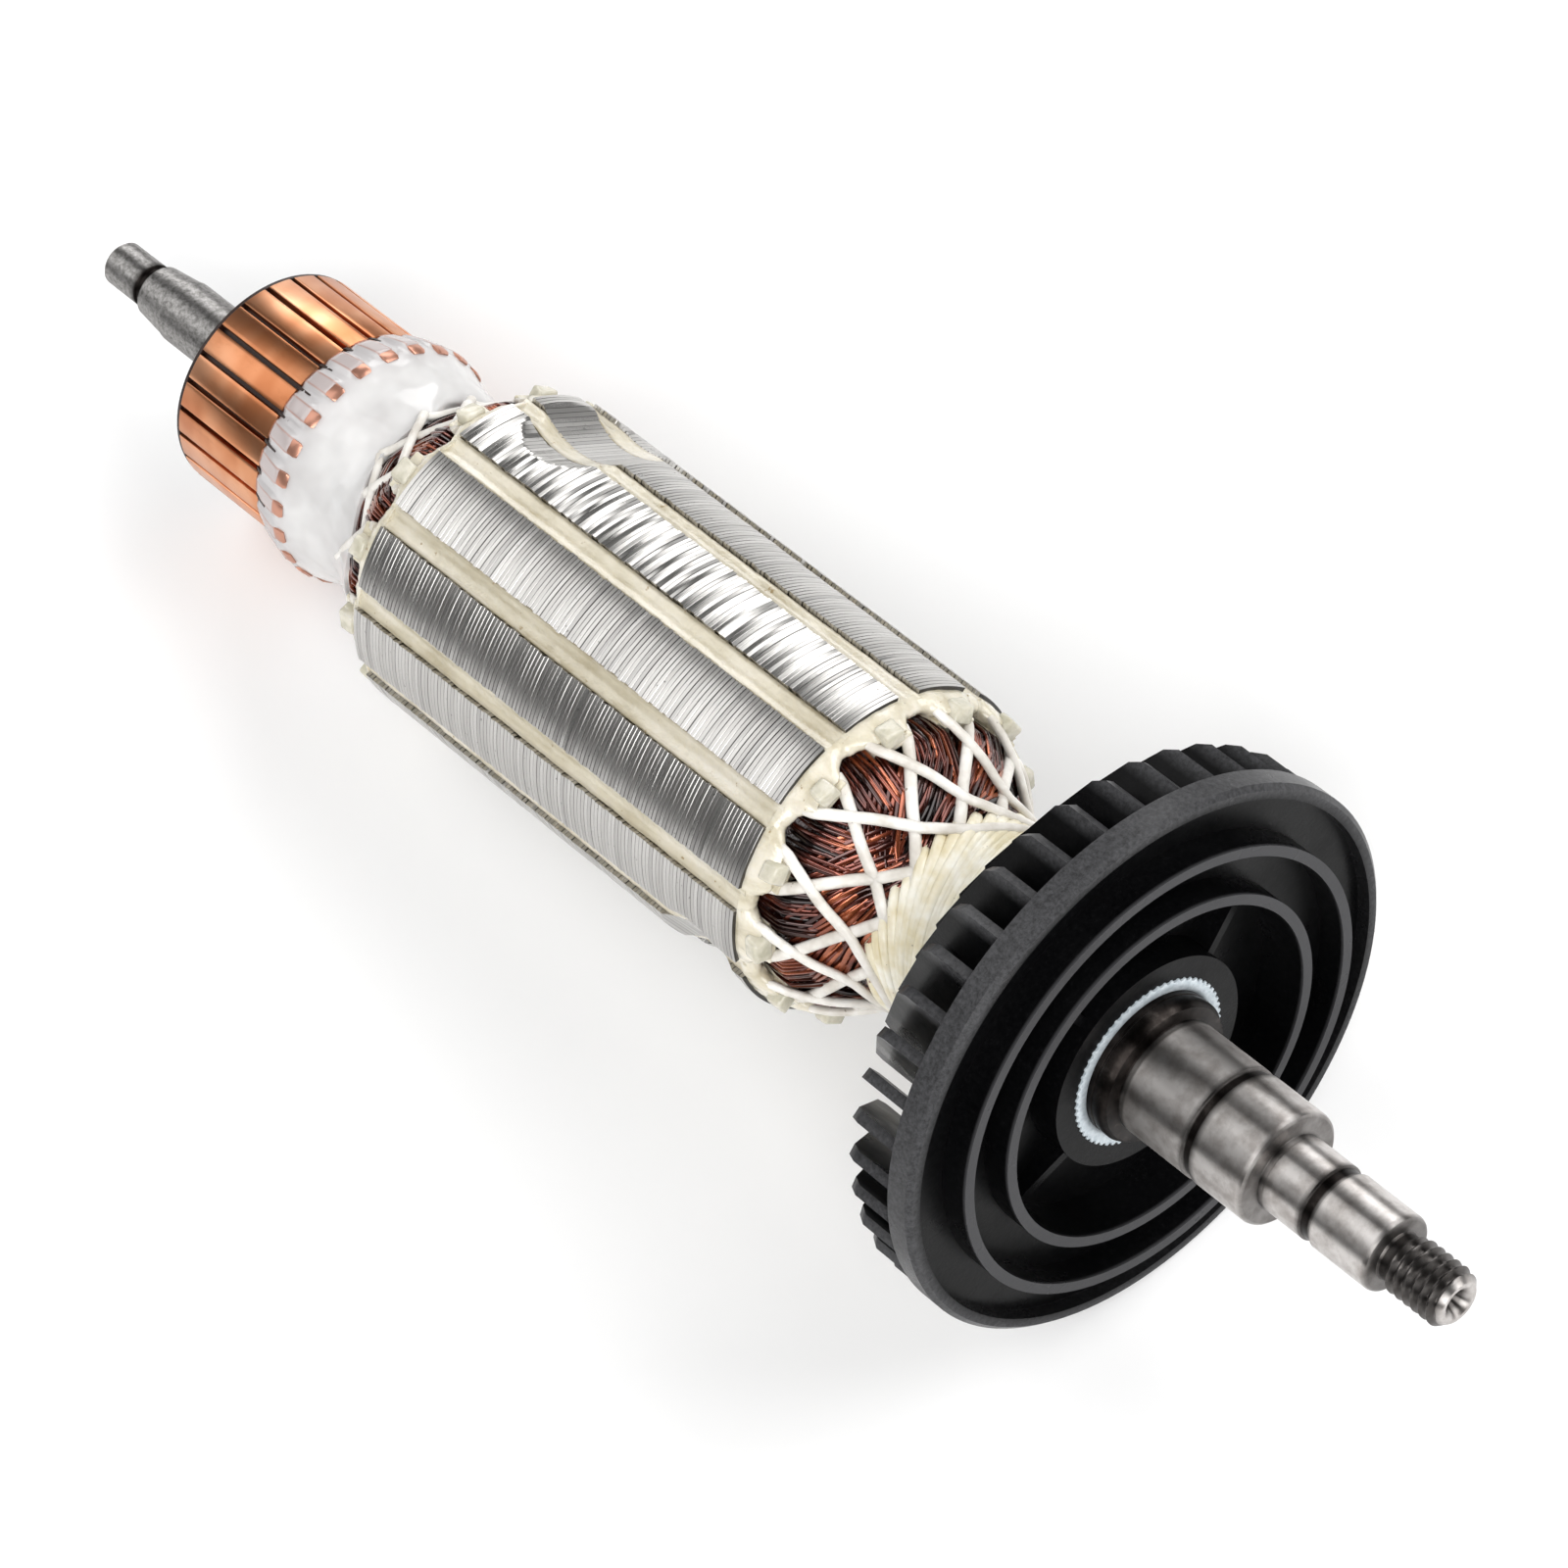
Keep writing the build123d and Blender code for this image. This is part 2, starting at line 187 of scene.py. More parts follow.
def soften(piece, width, steps=2, angle=30):
    modify(piece, "BEVEL", width=width, segments=steps, limit_method="ANGLE",
           angle_limit=math.radians(angle), harden_normals=False)


def smooth(piece, angle=35):
    pick(piece)
    bpy.ops.object.shade_smooth_by_angle(angle=math.radians(angle))


def copies(piece, count, first):
    """The piece and its copies all round the shaft, each with its own mesh."""
    step = 360 / count
    made = []
    for i in range(count):
        other = piece if i == count - 1 else placed("copy", piece.data.copy())
        made.append((other, first + step * i))
    for other, turn in made:
        other.data.transform(Matrix.Rotation(math.radians(turn), 4, "Z"))
    return [other for other, _ in made]


def joined(name, pieces):
    nothing_selected()
    for piece in pieces:
        piece.select_set(True)
    bpy.context.view_layer.objects.active = pieces[0]
    bpy.ops.object.join()
    return name_piece(name)


def dress(piece, slot, material, *stands_for):
    """Gives the piece its finish, and lets it ride and stand for its CAD nodes."""
    piece.data.materials.clear()
    piece.data.materials.append(material)
    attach(piece, "root")
    if stands_for:
        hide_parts(*stands_for)
    return piece


def lay(piece, slot, material, *stands_for):
    """Lays a piece of the shaft frame on the table, and dresses it."""
    pick(piece)
    piece.matrix_world = LIE
    bpy.ops.object.transform_apply(location=True, rotation=True, scale=True)
    return dress(piece, slot, material, *stands_for)


def polar(radius, angle, height):
    a = math.radians(angle)
    return Vector((radius * math.cos(a), radius * math.sin(a), height))


# Finishes


def shade(code):
    """An sRGB hex value as linear colour."""
    parts = [int(code[i : i + 2], 16) / 255 for i in (1, 3, 5)]
    linear = [c / 12.92 if c <= 0.04045 else ((c + 0.055) / 1.055) ** 2.4 for c in parts]
    return (*linear, 1.0)


def grey(value):
    return (value, value, value, 1)


def feed(node, *values, **named):
    """Sets a node's settings, and its inputs in order or by name. A node as a value is linked by its
    first output or by the one that it is paired with, and stops are hex values or greys."""
    for key in [key for key in named if hasattr(node, key)]:
        setattr(node, key, named.pop(key))
    if "stops" in named:
        stops = named.pop("stops")
        stops = [(place, shade(tone) if isinstance(tone, str) else grey(tone)) for place, tone in stops]
        band = node.color_ramp.elements
        for element, (place, colour) in zip((band[0], band[1]), (stops[0], stops[-1])):
            element.position = place
            element.color = colour
        for place, colour in stops[1:-1]:
            band.new(place).color = colour
    for key, value in (*enumerate(values), *named.items()):
        socket = node.inputs[key.replace("_", " ") if isinstance(key, str) else key]
        source, output = value if isinstance(value, tuple) and len(value) == 2 else (value, 0)
        if isinstance(source, bpy.types.Node):
            node.id_data.links.new(source.outputs[output], socket)
        else:
            socket.default_value = shade(value) if isinstance(value, str) else value
    return node


def add(material, kind, *values, **named):
    """Adds a node with its settings and links."""
    return feed(material.node_tree.nodes.new("ShaderNode" + kind), *values, **named)


def finish(name, **values):
    """A new finish and its surface node, with constants on the surface's own sockets."""
    material = bpy.data.materials.new(name)
    material.use_nodes = True
    return material, feed(material.node_tree.nodes["Principled BSDF"], **values)


def on_shaft(material):
    """Coordinates in millimetres in the shaft frame."""
    place = add(material, "TexCoord")
    turn = LIE.to_3x3().normalized().to_euler()
    return add(material, "Mapping", (place, "Object"), vector_type="TEXTURE", Location=LIE.translation,
               Rotation=turn, Scale=(MM, MM, MM))


def about_shaft(material, parts):
    """The angle about the shaft in degrees."""
    radians = add(material, "Math", (parts, "Y"), (parts, "X"), operation="ARCTAN2")
    return add(material, "Math", radians, math.degrees(1), operation="MULTIPLY")


def brushed_round(material, surface):
    """Turning marks run round the shaft, so highlights are drawn out along it."""
    feed(surface, Tangent=add(material, "CombineXYZ", *AXIS))


def steel_sheet():
    """Electrical steel, cold rolled, punched, stacked and turned to size: satin bands along each
    tooth, a fine dark line between sheets of 0.5 mm, and sheets that lean a little on some teeth
    and catch the light by themselves."""
    material, surface = finish("steel_sheet_stacked_turned", Metallic=1.0, Anisotropic=0.55)
    spot = on_shaft(material)
    parts = add(material, "SeparateXYZ", spot)
    angle = about_shaft(material, parts)
    brushed_round(material, surface)
    sheet = add(material, "Math", (parts, "Z"), 1 / SHEET_THICKNESS, operation="MULTIPLY")
    number = add(material, "Math", sheet, operation="FLOOR")
    lot = add(material, "TexWhiteNoise", noise_dimensions="1D", W=number)
    along = add(material, "Math", number, 0.42, operation="MULTIPLY")
    place = add(material, "Math", angle, 0.012, along, operation="MULTIPLY_ADD")
    group = add(material, "TexNoise", noise_dimensions="1D", W=place, Scale=1.0, Detail=2.0)

    turn = add(material, "Math", angle, 360.0, operation="FLOORED_MODULO")
    tooth = add(material, "Math", turn, 360.0, operation="DIVIDE")
    lean = add(material, "ValToRGB", tooth, stops=[(i / TEETH, u) for i, u in enumerate(TOOTH_UNEVEN)])
    lean.color_ramp.interpolation = "CONSTANT"
    swing = add(material, "Math", group, 0.5, operation="SUBTRACT")
    swing = add(material, "Math", swing, 2.6, operation="MULTIPLY")
    swing = add(material, "Math", swing, lean, operation="MULTIPLY")
    fading = add(material, "MapRange", (parts, "Z"), 26.0, 50.0, 1.0, 0.2)
    swing = add(material, "Math", swing, fading, operation="MULTIPLY")
    shape = add(material, "NewGeometry")
    across = add(material, "VectorMath", AXIS, (shape, "Normal"), operation="CROSS_PRODUCT")
    push = add(material, "VectorMath", across, Scale=swing, operation="SCALE")
    tipped = add(material, "VectorMath", (shape, "Normal"), push, operation="ADD")
    tipped = add(material, "VectorMath", tipped, operation="NORMALIZE")

    edge = add(material, "Math", sheet, 0.5, operation="PINGPONG")
    line = add(material, "MapRange", edge, 0.02, 0.09)
    mixed = add(material, "Math", lot, 0.5, group, operation="MULTIPLY_ADD")
    body = add(material, "ValToRGB", mixed, stops=[(0.35, "#ABA9A7"), (0.6, "#B7B5B2"), (0.9, "#C2C0BD")])
    dark = add(material, "ValToRGB", lot, stops=[(0.1, "#3C3B3A"), (0.9, "#6A6866")])
    toned = add(material, "MixRGB", line, dark, body)
    grime = add(material, "TexNoise", spot, Scale=1.7, Detail=3.0, Roughness=0.7)
    dirt = add(material, "ValToRGB", grime, stops=[(0.68, 0.0), (0.73, 0.85)])
    toned = add(material, "MixRGB", dirt, toned, "#35322F")
    rough = add(material, "MapRange", mixed, 0.3, 0.9, 0.31, 0.27)
    fine = add(material, "TexNoise", spot, Scale=5.0, Detail=2.0, Roughness=0.6)
    relief = add(material, "Bump", Strength=0.05, Distance=0.02 * MM, Height=fine, Normal=tipped)
    feed(surface, Base_Color=toned, Roughness=rough, Normal=relief)
    return material


def turned_copper():
    """Hard drawn copper, turned with a fine feed: clean metal, drawn out highlights and a brown
    breath of oxide that runs round the bars."""
    material, surface = finish("copper_hard_drawn_turned", Metallic=1.0, Anisotropic=0.6)
    spot = on_shaft(material)
    parts = add(material, "SeparateXYZ", spot)
    brushed_round(material, surface)
    drawn = add(material, "Mapping", spot, Scale=(1, 1, 1.6))
    drift = add(material, "TexNoise", drawn, Scale=0.13, Detail=2.0, Roughness=0.5)
    tone = add(material, "ValToRGB", drift, stops=[(0.32, "#C97F55"), (0.5, "#E09A70"), (0.68, "#ECB08A")])
    drawn = add(material, "Mapping", spot, Scale=(1, 1, 0.5))
    oxide = add(material, "TexNoise", drawn, Scale=0.5, Detail=4.0, Roughness=0.7)
    stain = add(material, "ValToRGB", oxide, stops=[(0.56, 0.0), (0.72, 0.3)])
    toned = add(material, "MixRGB", stain, tone, "#A0623F")
    first = BAR_TURN - BAR_PITCH / 2
    turn = add(material, "Math", about_shaft(material, parts), first, operation="SUBTRACT")
    bar = add(material, "Math", turn, BAR_PITCH, operation="DIVIDE")
    number = add(material, "Math", bar, operation="FLOOR")
    each = add(material, "TexWhiteNoise", noise_dimensions="1D", W=number)
    share = add(material, "MapRange", each, 0.0, 1.0, 0.0, 0.45)
    toned = add(material, "MixRGB", share, toned, "#94603F")
    bare = add(material, "MapRange", (parts, "Z"), RISER, RISER + 0.6)
    toned = add(material, "MixRGB", bare, toned, "#C28D78")
    metal = add(material, "MapRange", bare, 0.0, 1.0, 1.0, 0.7)
    rough = add(material, "MapRange", drift, 0.3, 0.7, 0.34, 0.28)
    drawn = add(material, "Mapping", spot, Scale=(0.15, 0.15, 7.0))
    marks = add(material, "TexNoise", drawn, Scale=1.0, Detail=1.0, Roughness=0.5)
    relief = add(material, "Bump", Strength=0.05, Distance=0.02 * MM, Height=marks)
    feed(surface, Base_Color=toned, Metallic=metal, Roughness=rough, Normal=relief)
    return material


def white_resin():
    """Epoxy paste, dipped and cured: glossy white with soft waves, painted a darker grey towards the
    tangs as painted shade. Where it covers the tangs it is thin, and the copper shows through as a
    grey pink."""
    material, surface = finish(
        "epoxy_dipped_white", Roughness=0.14, IOR=1.5, Subsurface_Weight=0.2,
        Subsurface_Radius=(1.0, 0.9, 0.85), Subsurface_Scale=0.6 * MM,
    )
    spot = on_shaft(material)
    parts = add(material, "SeparateXYZ", spot)
    waves = add(material, "TexNoise", spot, Scale=0.22, Detail=2.0, Roughness=0.6)
    tone = add(material, "ValToRGB", waves, stops=[(0.3, "#CBC9C8"), (0.65, "#DCDBDA")])
    # painted shade: the resin is painted a darker grey towards the tangs and the riser
    near = add(material, "MapRange", (parts, "Z"), TANG_BARE + 3.0, RISER + 1.0, 0.0, 0.75)
    tone = add(material, "MixRGB", near, tone, "#B7B2B3")
    turn = add(material, "Math", about_shaft(material, parts), BAR_TURN, operation="SUBTRACT")
    off = add(material, "Math", turn, BAR_PITCH / 2, operation="PINGPONG")
    beside = add(material, "MapRange", off, 4.0, 3.3)
    before = add(material, "MapRange", (parts, "Z"), TANG_BARE + 0.5, TANG_BARE)
    thin = add(material, "Math", beside, before, operation="MULTIPLY")
    thin = add(material, "Math", thin, 0.85, operation="MULTIPLY")
    rim = add(material, "MapRange", off, 2.6, 3.5)
    veil = add(material, "MixRGB", rim, "#BDB1AF", "#AD7F70")
    toned = add(material, "MixRGB", thin, tone, veil)
    relief = add(material, "Bump", Strength=0.3, Distance=0.2 * MM, Height=waves)
    feed(surface, Base_Color=toned, Normal=relief)
    return material


def wire_enamel():
    """Copper wire with baked brown-red enamel, soaked in varnish: each wire has its own tone, and a
    broad noise paints dark patches as painted shade and light ones as painted highlight.
    """
    material, surface = finish(
        "copper_wire_enamelled", Metallic=0.7, Roughness=0.24, Coat_Weight=0.7, Coat_Roughness=0.06,
    )
    each = (add(material, "NewGeometry"), "Random Per Island")
    # painted shade and painted highlight: a broad noise darkens some patches of wire and lightens others
    painted_shade_and_highlight = add(material, "TexNoise", on_shaft(material), Scale=0.16, Detail=2.0, Roughness=0.5)
    mixed = add(material, "Math", each, 0.42, painted_shade_and_highlight, operation="MULTIPLY_ADD")
    tone = add(material, "ValToRGB", mixed, stops=[
        (0.45, "#120403"), (0.6, "#38120A"), (0.78, "#6A2A18"), (0.98, "#B5643E"),
    ])
    feed(surface, Base_Color=tone)
    return material


def waxed_cord(name, pale, deep, gloss):
    """Polyester lacing cord, braided flat and waxed: soft white with a fine twill, greyer in places at
    random, with tiny specks. Round the neck it is soaked in varnish and turns yellow."""
    material, surface = finish(
        name, Roughness=gloss, Subsurface_Weight=0.2,
        Subsurface_Radius=(1.0, 0.95, 0.9), Subsurface_Scale=0.4 * MM,
    )
    spot = on_shaft(material)
    drift = add(material, "TexNoise", spot, Scale=0.3, Detail=3.0, Roughness=0.6)
    tone = add(material, "ValToRGB", drift, stops=[(0.35, deep), (0.62, pale)])
    dots = add(material, "TexNoise", spot, Scale=1.9, Detail=1.0, Roughness=0.6)
    speck = add(material, "ValToRGB", dots, stops=[(0.76, 0.0), (0.8, 0.7)])
    toned = add(material, "MixRGB", speck, tone, "#7A6A58")
    drawn = add(material, "Mapping", spot, Scale=(1, 1, 0.6))
    twill = add(material, "TexNoise", drawn, Scale=2.2, Detail=2.0, Roughness=0.5)
    relief = add(material, "Bump", Strength=0.5, Distance=0.12 * MM, Height=twill)
    feed(surface, Base_Color=toned, Normal=relief)
    return material


def cream_insulation():
    """Glass polyester, moulded cream and coated with clear varnish: glossy, a little uneven, beige
    where the coat is thick, with brown specks, and painted shade on each slot strip along the core,
    a little over all of it and more towards its edges."""
    material, surface = finish(
        "polyester_moulded_cream", Roughness=0.25, IOR=1.52, Subsurface_Weight=0.15,
        Subsurface_Radius=(1.0, 0.8, 0.5), Subsurface_Scale=0.6 * MM, Coat_Weight=0.7, Coat_Roughness=0.08,
    )
    spot = on_shaft(material)
    parts = add(material, "SeparateXYZ", spot)
    drawn = add(material, "Mapping", spot, Scale=(1, 1, 0.35))
    drift = add(material, "TexNoise", drawn, Scale=0.3, Detail=5.0, Roughness=0.6)
    tone = add(material, "ValToRGB", drift, stops=[
        (0.32, "#C0B69C"), (0.48, "#DAD2BC"), (0.62, "#E7E0CF"), (0.8, "#F1ECE1"),
    ])
    specks = add(material, "TexNoise", spot, Scale=0.95, Detail=3.0, Roughness=0.6)
    dots = add(material, "ValToRGB", specks, stops=[(0.67, 0.0), (0.72, 0.8)])
    dirty = add(material, "MixRGB", dots, tone, "#94794A")
    off = add(material, "Math", about_shaft(material, parts), PITCH / 2, operation="PINGPONG")
    # painted shade: each slot strip is darkened a little, and more towards its edges, along the core
    shadow = add(material, "MapRange", off, 2.6, 4.4, 0.15, 0.8)
    before = add(material, "MapRange", (parts, "Z"), CORE_LENGTH, CORE_LENGTH - 0.8)
    after = add(material, "MapRange", (parts, "Z"), 0.0, 0.8)
    within = add(material, "Math", before, after, operation="MULTIPLY")
    shadow = add(material, "Math", shadow, within, operation="MULTIPLY")
    shaded = add(material, "MixRGB", shadow, dirty, "#8C7F62")
    lumps = add(material, "TexNoise", spot, Scale=0.9, Detail=3.0, Roughness=0.6)
    relief = add(material, "Bump", Strength=0.7, Distance=0.3 * MM, Height=lumps)
    feed(surface, Base_Color=shaded, Normal=relief)
    return material


def black_nylon():
    """Nylon with glass fibre, injection moulded: soft black with a fine fleck. The rib fronts and the
    outer rim are painted a paler grey, partly wear and partly painted highlight.
    """
    material, surface = finish("nylon_glass_filled_moulded", IOR=1.53, Specular_IOR_Level=0.1)
    spot = on_shaft(material)
    parts = add(material, "SeparateXYZ", spot)
    fleck = add(material, "TexNoise", spot, Scale=2.2, Detail=4.0, Roughness=0.75)
    tone = add(material, "ValToRGB", fleck, stops=[(0.38, "#050506"), (0.6, "#0B0B0C"), (0.8, "#1A1A1C")])
    # rib fronts painted a lighter grey, partly wear and partly painted highlight
    rib_wear_and_highlight = add(material, "MapRange", (parts, "Z"), RIB_FRONT - 0.4, RIB_FRONT - 0.1, 0.0, 0.7)
    toned = add(material, "MixRGB", rib_wear_and_highlight, tone, "#4A4A4C")
    flat = add(material, "Mapping", spot, Scale=(1, 1, 0))
    reach = (add(material, "VectorMath", flat, operation="LENGTH"), "Value")
    # outer rim painted a paler grey, partly wear and partly painted highlight
    rim = add(material, "MapRange", reach, RIM_RADIUS - 1.6, RIM_RADIUS - 0.5)
    pale = add(material, "ValToRGB", fleck, stops=[(0.35, "#303031"), (0.7, "#4C4C4E")])
    toned = add(material, "MixRGB", rim, toned, pale)
    broad = add(material, "TexNoise", spot, Scale=0.12, Detail=3.0, Roughness=0.6)
    rough = add(material, "MapRange", broad, 0.35, 0.65, 0.24, 0.42)
    relief = add(material, "Bump", Strength=0.35, Distance=0.05 * MM, Height=fleck)
    feed(surface, Base_Color=toned, Roughness=rough, Normal=relief)
    return material


def ground_steel():
    """Carbon steel. The seats at the drive end are cylindrically ground and bright, the collar, the
    grooves and the thread are dark with oil, and the commutator end is only drawn and cleaned, grey
    and finely pitted."""
    material, surface = finish("carbon_steel_ground", Metallic=1.0, Anisotropic=0.9)
    spot = on_shaft(material)
    parts = add(material, "SeparateXYZ", spot)
    brushed_round(material, surface)
    drift = add(material, "TexNoise", spot, Scale=0.5, Detail=4.0, Roughness=0.6)
    pits = add(material, "TexNoise", spot, Scale=2.0, Detail=5.0, Roughness=0.75)
    bright = add(material, "ValToRGB", drift, stops=[(0.35, "#AAA4A0"), (0.6, "#CFCBC8")])
    dull = add(material, "ValToRGB", pits, stops=[(0.33, "#6B6967"), (0.5, "#979593"), (0.7, "#BBB9B7")])
    oily = add(material, "ValToRGB", drift, stops=[(0.35, "#141110"), (0.6, "#2C2826"), (0.78, "#4C4744")])
    place = add(material, "MapRange", (parts, "Z"), SHAFT_START, SHAFT_END)
    stops = [(0.0, 0.0)]
    for start, end, share in OILY:
        for z, value in ((start - 0.08, 0.0), (start, share), (end, share), (end + 0.08, 0.0)):
            stops.append(((z - SHAFT_START) / (SHAFT_END - SHAFT_START), value))
    oil = add(material, "ValToRGB", place, stops=stops)
    rear = add(material, "MapRange", (parts, "Z"), -34.0, -30.0, 1.0, 0.0)
    toned = add(material, "MixRGB", rear, bright, dull)
    toned = add(material, "MixRGB", oil, toned, oily)
    rough = add(material, "MapRange", rear, 0.0, 1.0, 0.34, 0.44)
    drawn = add(material, "Mapping", spot, Scale=(0.3, 0.3, 8.0))
    marks = add(material, "TexNoise", drawn, Scale=1.0, Detail=3.0, Roughness=0.6)
    relief = add(material, "Bump", Strength=0.2, Distance=0.03 * MM, Height=marks)
    feed(surface, Base_Color=toned, Roughness=rough, Normal=relief)
    return material


def grained(name, scale, detail, stops, strength, depth, **values):
    """A finish that takes both its tones and its relief from one noise."""
    material, surface = finish(name, **values)
    grain = add(material, "TexNoise", on_shaft(material), Scale=scale, Detail=detail, Roughness=0.6)
    tone = add(material, "ValToRGB", grain, stops=stops)
    relief = add(material, "Bump", Strength=strength, Distance=depth * MM, Height=grain)
    feed(surface, Base_Color=tone, Normal=relief)
    return material


SHEET = steel_sheet()
COPPER = turned_copper()
RESIN = white_resin()
WIRE = wire_enamel()
CORD = waxed_cord("polyester_cord_braided_waxed", "#F7F4EE", "#D6D0C6", 0.38)
SOAKED_CORD = waxed_cord("polyester_cord_varnish_soaked", "#FBF7E9", "#E4D9B8", 0.28)
CREAM = cream_insulation()
NYLON = black_nylon()
STEEL = ground_steel()

# Phenolic, pressed and sawn with the bars: near black red brown, dull, with a fine grain
PHENOLIC = grained("phenolic_pressed", 3.0, 3.0, [(0.35, "#140A07"), (0.7, "#33190F")], 0.3, 0.03,
                   Roughness=0.5)

# Impregnating varnish over packed wire, drained and baked: almost black red, wet looking, and
# partly painted shade that stands for the deeper wires lying in shade
VARNISH_AND_PAINTED_SHADE = grained("varnish_and_painted_shade_over_wire", 0.7, 4.0, [(0.42, "#120403"), (0.75, "#3A120A")], 0.8, 0.5,
                  Roughness=0.22, Specular_IOR_Level=0.35)

# Varnish drops over the hooks of the star plate: milky grey green, glossy, thick edged
GLUE = grained("varnish_drop_clear", 0.6, 3.0, [(0.35, "#D0CCB8"), (0.55, "#E6E1D0"), (0.75, "#F5F1E6")],
               0.6, 0.3, Roughness=0.08, IOR=1.5, Transmission_Weight=0.2, Subsurface_Weight=0.3,
               Subsurface_Radius=(1.0, 0.95, 0.8), Subsurface_Scale=0.8 * MM)

# Zinc alloy, die cast and plated: pale, matt and a little blue
ZINC = grained("zinc_die_cast", 1.5, 4.0, [(0.35, "#B4BFC6"), (0.6, "#D2DBE0")], 0.3, 0.05,
               Metallic=0.35, Roughness=0.4)

CAD_FINISHES = {
    "shaft": STEEL, "shaft_sleeve": CREAM, "core_stack": SHEET, "end_plate": CREAM,
    "slot_closures": CREAM, "slot_liner": CREAM, "coil": VARNISH_AND_PAINTED_SHADE, "commutator_bar": COPPER,
    "commutator_hub": PHENOLIC, "resin_collar": RESIN, "lacing": CORD, "fan": NYLON, "fan_bush": ZINC,
}
for name, node in nodes.items():
    best = max((key for key in CAD_FINISHES if name.startswith(key)), key=len)
    node.data.materials.clear()
    node.data.materials.append(CAD_FINISHES[best])


# Skins drawn from a grid, and prisms cut from an outline


def rolled(name, sections, sides, capped=True):
    """A tube rolled from a grid and drawn over closed sections, each given by a function of the
    share of a turn."""
    steps = len(sections) - 1
    nothing_selected()
    bpy.ops.mesh.primitive_grid_add(x_subdivisions=steps, y_subdivisions=sides, size=1)
    piece = name_piece(name)
    for vertex in piece.data.vertices:
        along = round((vertex.co.x + 0.5) * steps)
        across = round((vertex.co.y + 0.5) * sides)
        vertex.co = sections[along](across / sides)
    edit(piece)
    bpy.ops.mesh.remove_doubles(threshold=0.0005)
    if capped:
        bpy.ops.mesh.select_all(action="DESELECT")
        bpy.ops.mesh.select_non_manifold()
        bpy.ops.mesh.edge_face_add()
    bpy.ops.mesh.select_all(action="SELECT")
    bpy.ops.mesh.normals_make_consistent(inside=False)
    done()
    return piece


def cut_out(name, points, low, high):
    """A prism along the shaft between two heights, from its flat outline."""
    nothing_selected()
    bpy.ops.mesh.primitive_circle_add(vertices=len(points), radius=1, fill_type="NGON")
    piece = name_piece(name)
    for vertex, (x, y) in zip(piece.data.vertices, points):
        vertex.co = (x, y, low)
    edit(piece)
    bpy.ops.mesh.extrude_region_move(TRANSFORM_OT_translate={"value": (0, 0, high - low)})
    done()
    clean(piece)
    return piece


def at_angle(u, v, angle):
    """A flat point given along and across a radial line, turned to that line's angle."""
    a = math.radians(angle)
    return (u * math.cos(a) - v * math.sin(a), u * math.sin(a) + v * math.cos(a))


def between(table, x):
    """A value between the (place, value) entries of a table."""
    for (x0, y0), (x1, y1) in zip(table, table[1:]):
        if x <= x1:
            return y0 + (y1 - y0) * (x - x0) / (x1 - x0)
    return table[-1][1]


def eased(x, start, end):
    """Runs softly from 0 at start to 1 at end."""
    share = max(0.0, min(1.0, (x - start) / (end - start)))
    return share * share * (3 - 2 * share)


def uneven(point, scale, seed=0.0):
    """A smooth unevenness between about -1 and 1."""
    return noise.noise(Vector(point) * scale + Vector((seed, 2.3 * seed, 5.1)))


def copy_of(node, name):
    """A merged copy of a CAD node's mesh, in metres on the table."""
    piece = placed(name, nodes[node].data.copy())
    piece.data.name = name
    edit(piece)
    bpy.ops.mesh.remove_doubles(threshold=1e-6)
    bpy.ops.mesh.dissolve_limited(angle_limit=math.radians(1))
    bpy.ops.mesh.select_all(action="SELECT")
    bpy.ops.mesh.normals_make_consistent(inside=False)
    done()
    return piece


# Laminated core


# Half a groove between two sheets, the balance cuts as (angle, height), their cutter and their floor,
# and how finely the top of a tooth is drawn where a cut crosses it
GROOVE = 0.06
CUTS = ((48.0, 7.6), (200.0, 50.0))
CUTTER_RADIUS = 10.3
CUT_FLOOR = CORE_RADIUS - 2.0
CUT_TEETH = {1: 26, 2: 26, 6: 26, 5: 14, 7: 26}


def sheet_outline(inset):
    """The outer line of one sheet: slots between T-shaped teeth, finer where a cut crosses."""
    half = math.radians(PITCH / 2)
    radius = CORE_RADIUS - inset
    opening = SLOT_OPENING / 2 + inset
    tip = math.sqrt(CORE_RADIUS**2 - (SLOT_OPENING / 2) ** 2) - TIP_EDGE
    edge = math.degrees(math.asin(opening / radius))
    wall = [(u, (u * math.sin(half) - TOOTH_WIDTH / 2) / math.cos(half))
            for u in (TIP_ROOT_RADIUS, SLOT_FLOOR)]
    points = []
    for k in range(TEETH):
        side = [(tip, opening)] + [(u, v + inset) for u, v in wall]
        for u, v in [(u, -v) for u, v in side] + side[::-1]:
            points.append(at_angle(u, v, PITCH * k))
        steps = CUT_TEETH.get(k, 7)
        for i in range(steps + 1):
            angle = PITCH * k + edge + (PITCH - 2 * edge) * i / steps
            points.append(at_angle(radius, 0, angle))
    return points


def milled(point):
    """The point, drawn back onto the floor of a balance cut where the cutter went through it."""
    x, y, z = point
    for angle, height in CUTS:
        a = math.radians(angle)
        u = x * math.cos(a) + y * math.sin(a)
        reach = CUTTER_RADIUS**2 - (z - height) ** 2
        if reach > 0:
            limit = CUT_FLOOR + CUTTER_RADIUS - math.sqrt(reach)
            if u > limit:
                x -= (u - limit) * math.cos(a)
                y -= (u - limit) * math.sin(a)
    return Vector((x, y, z))


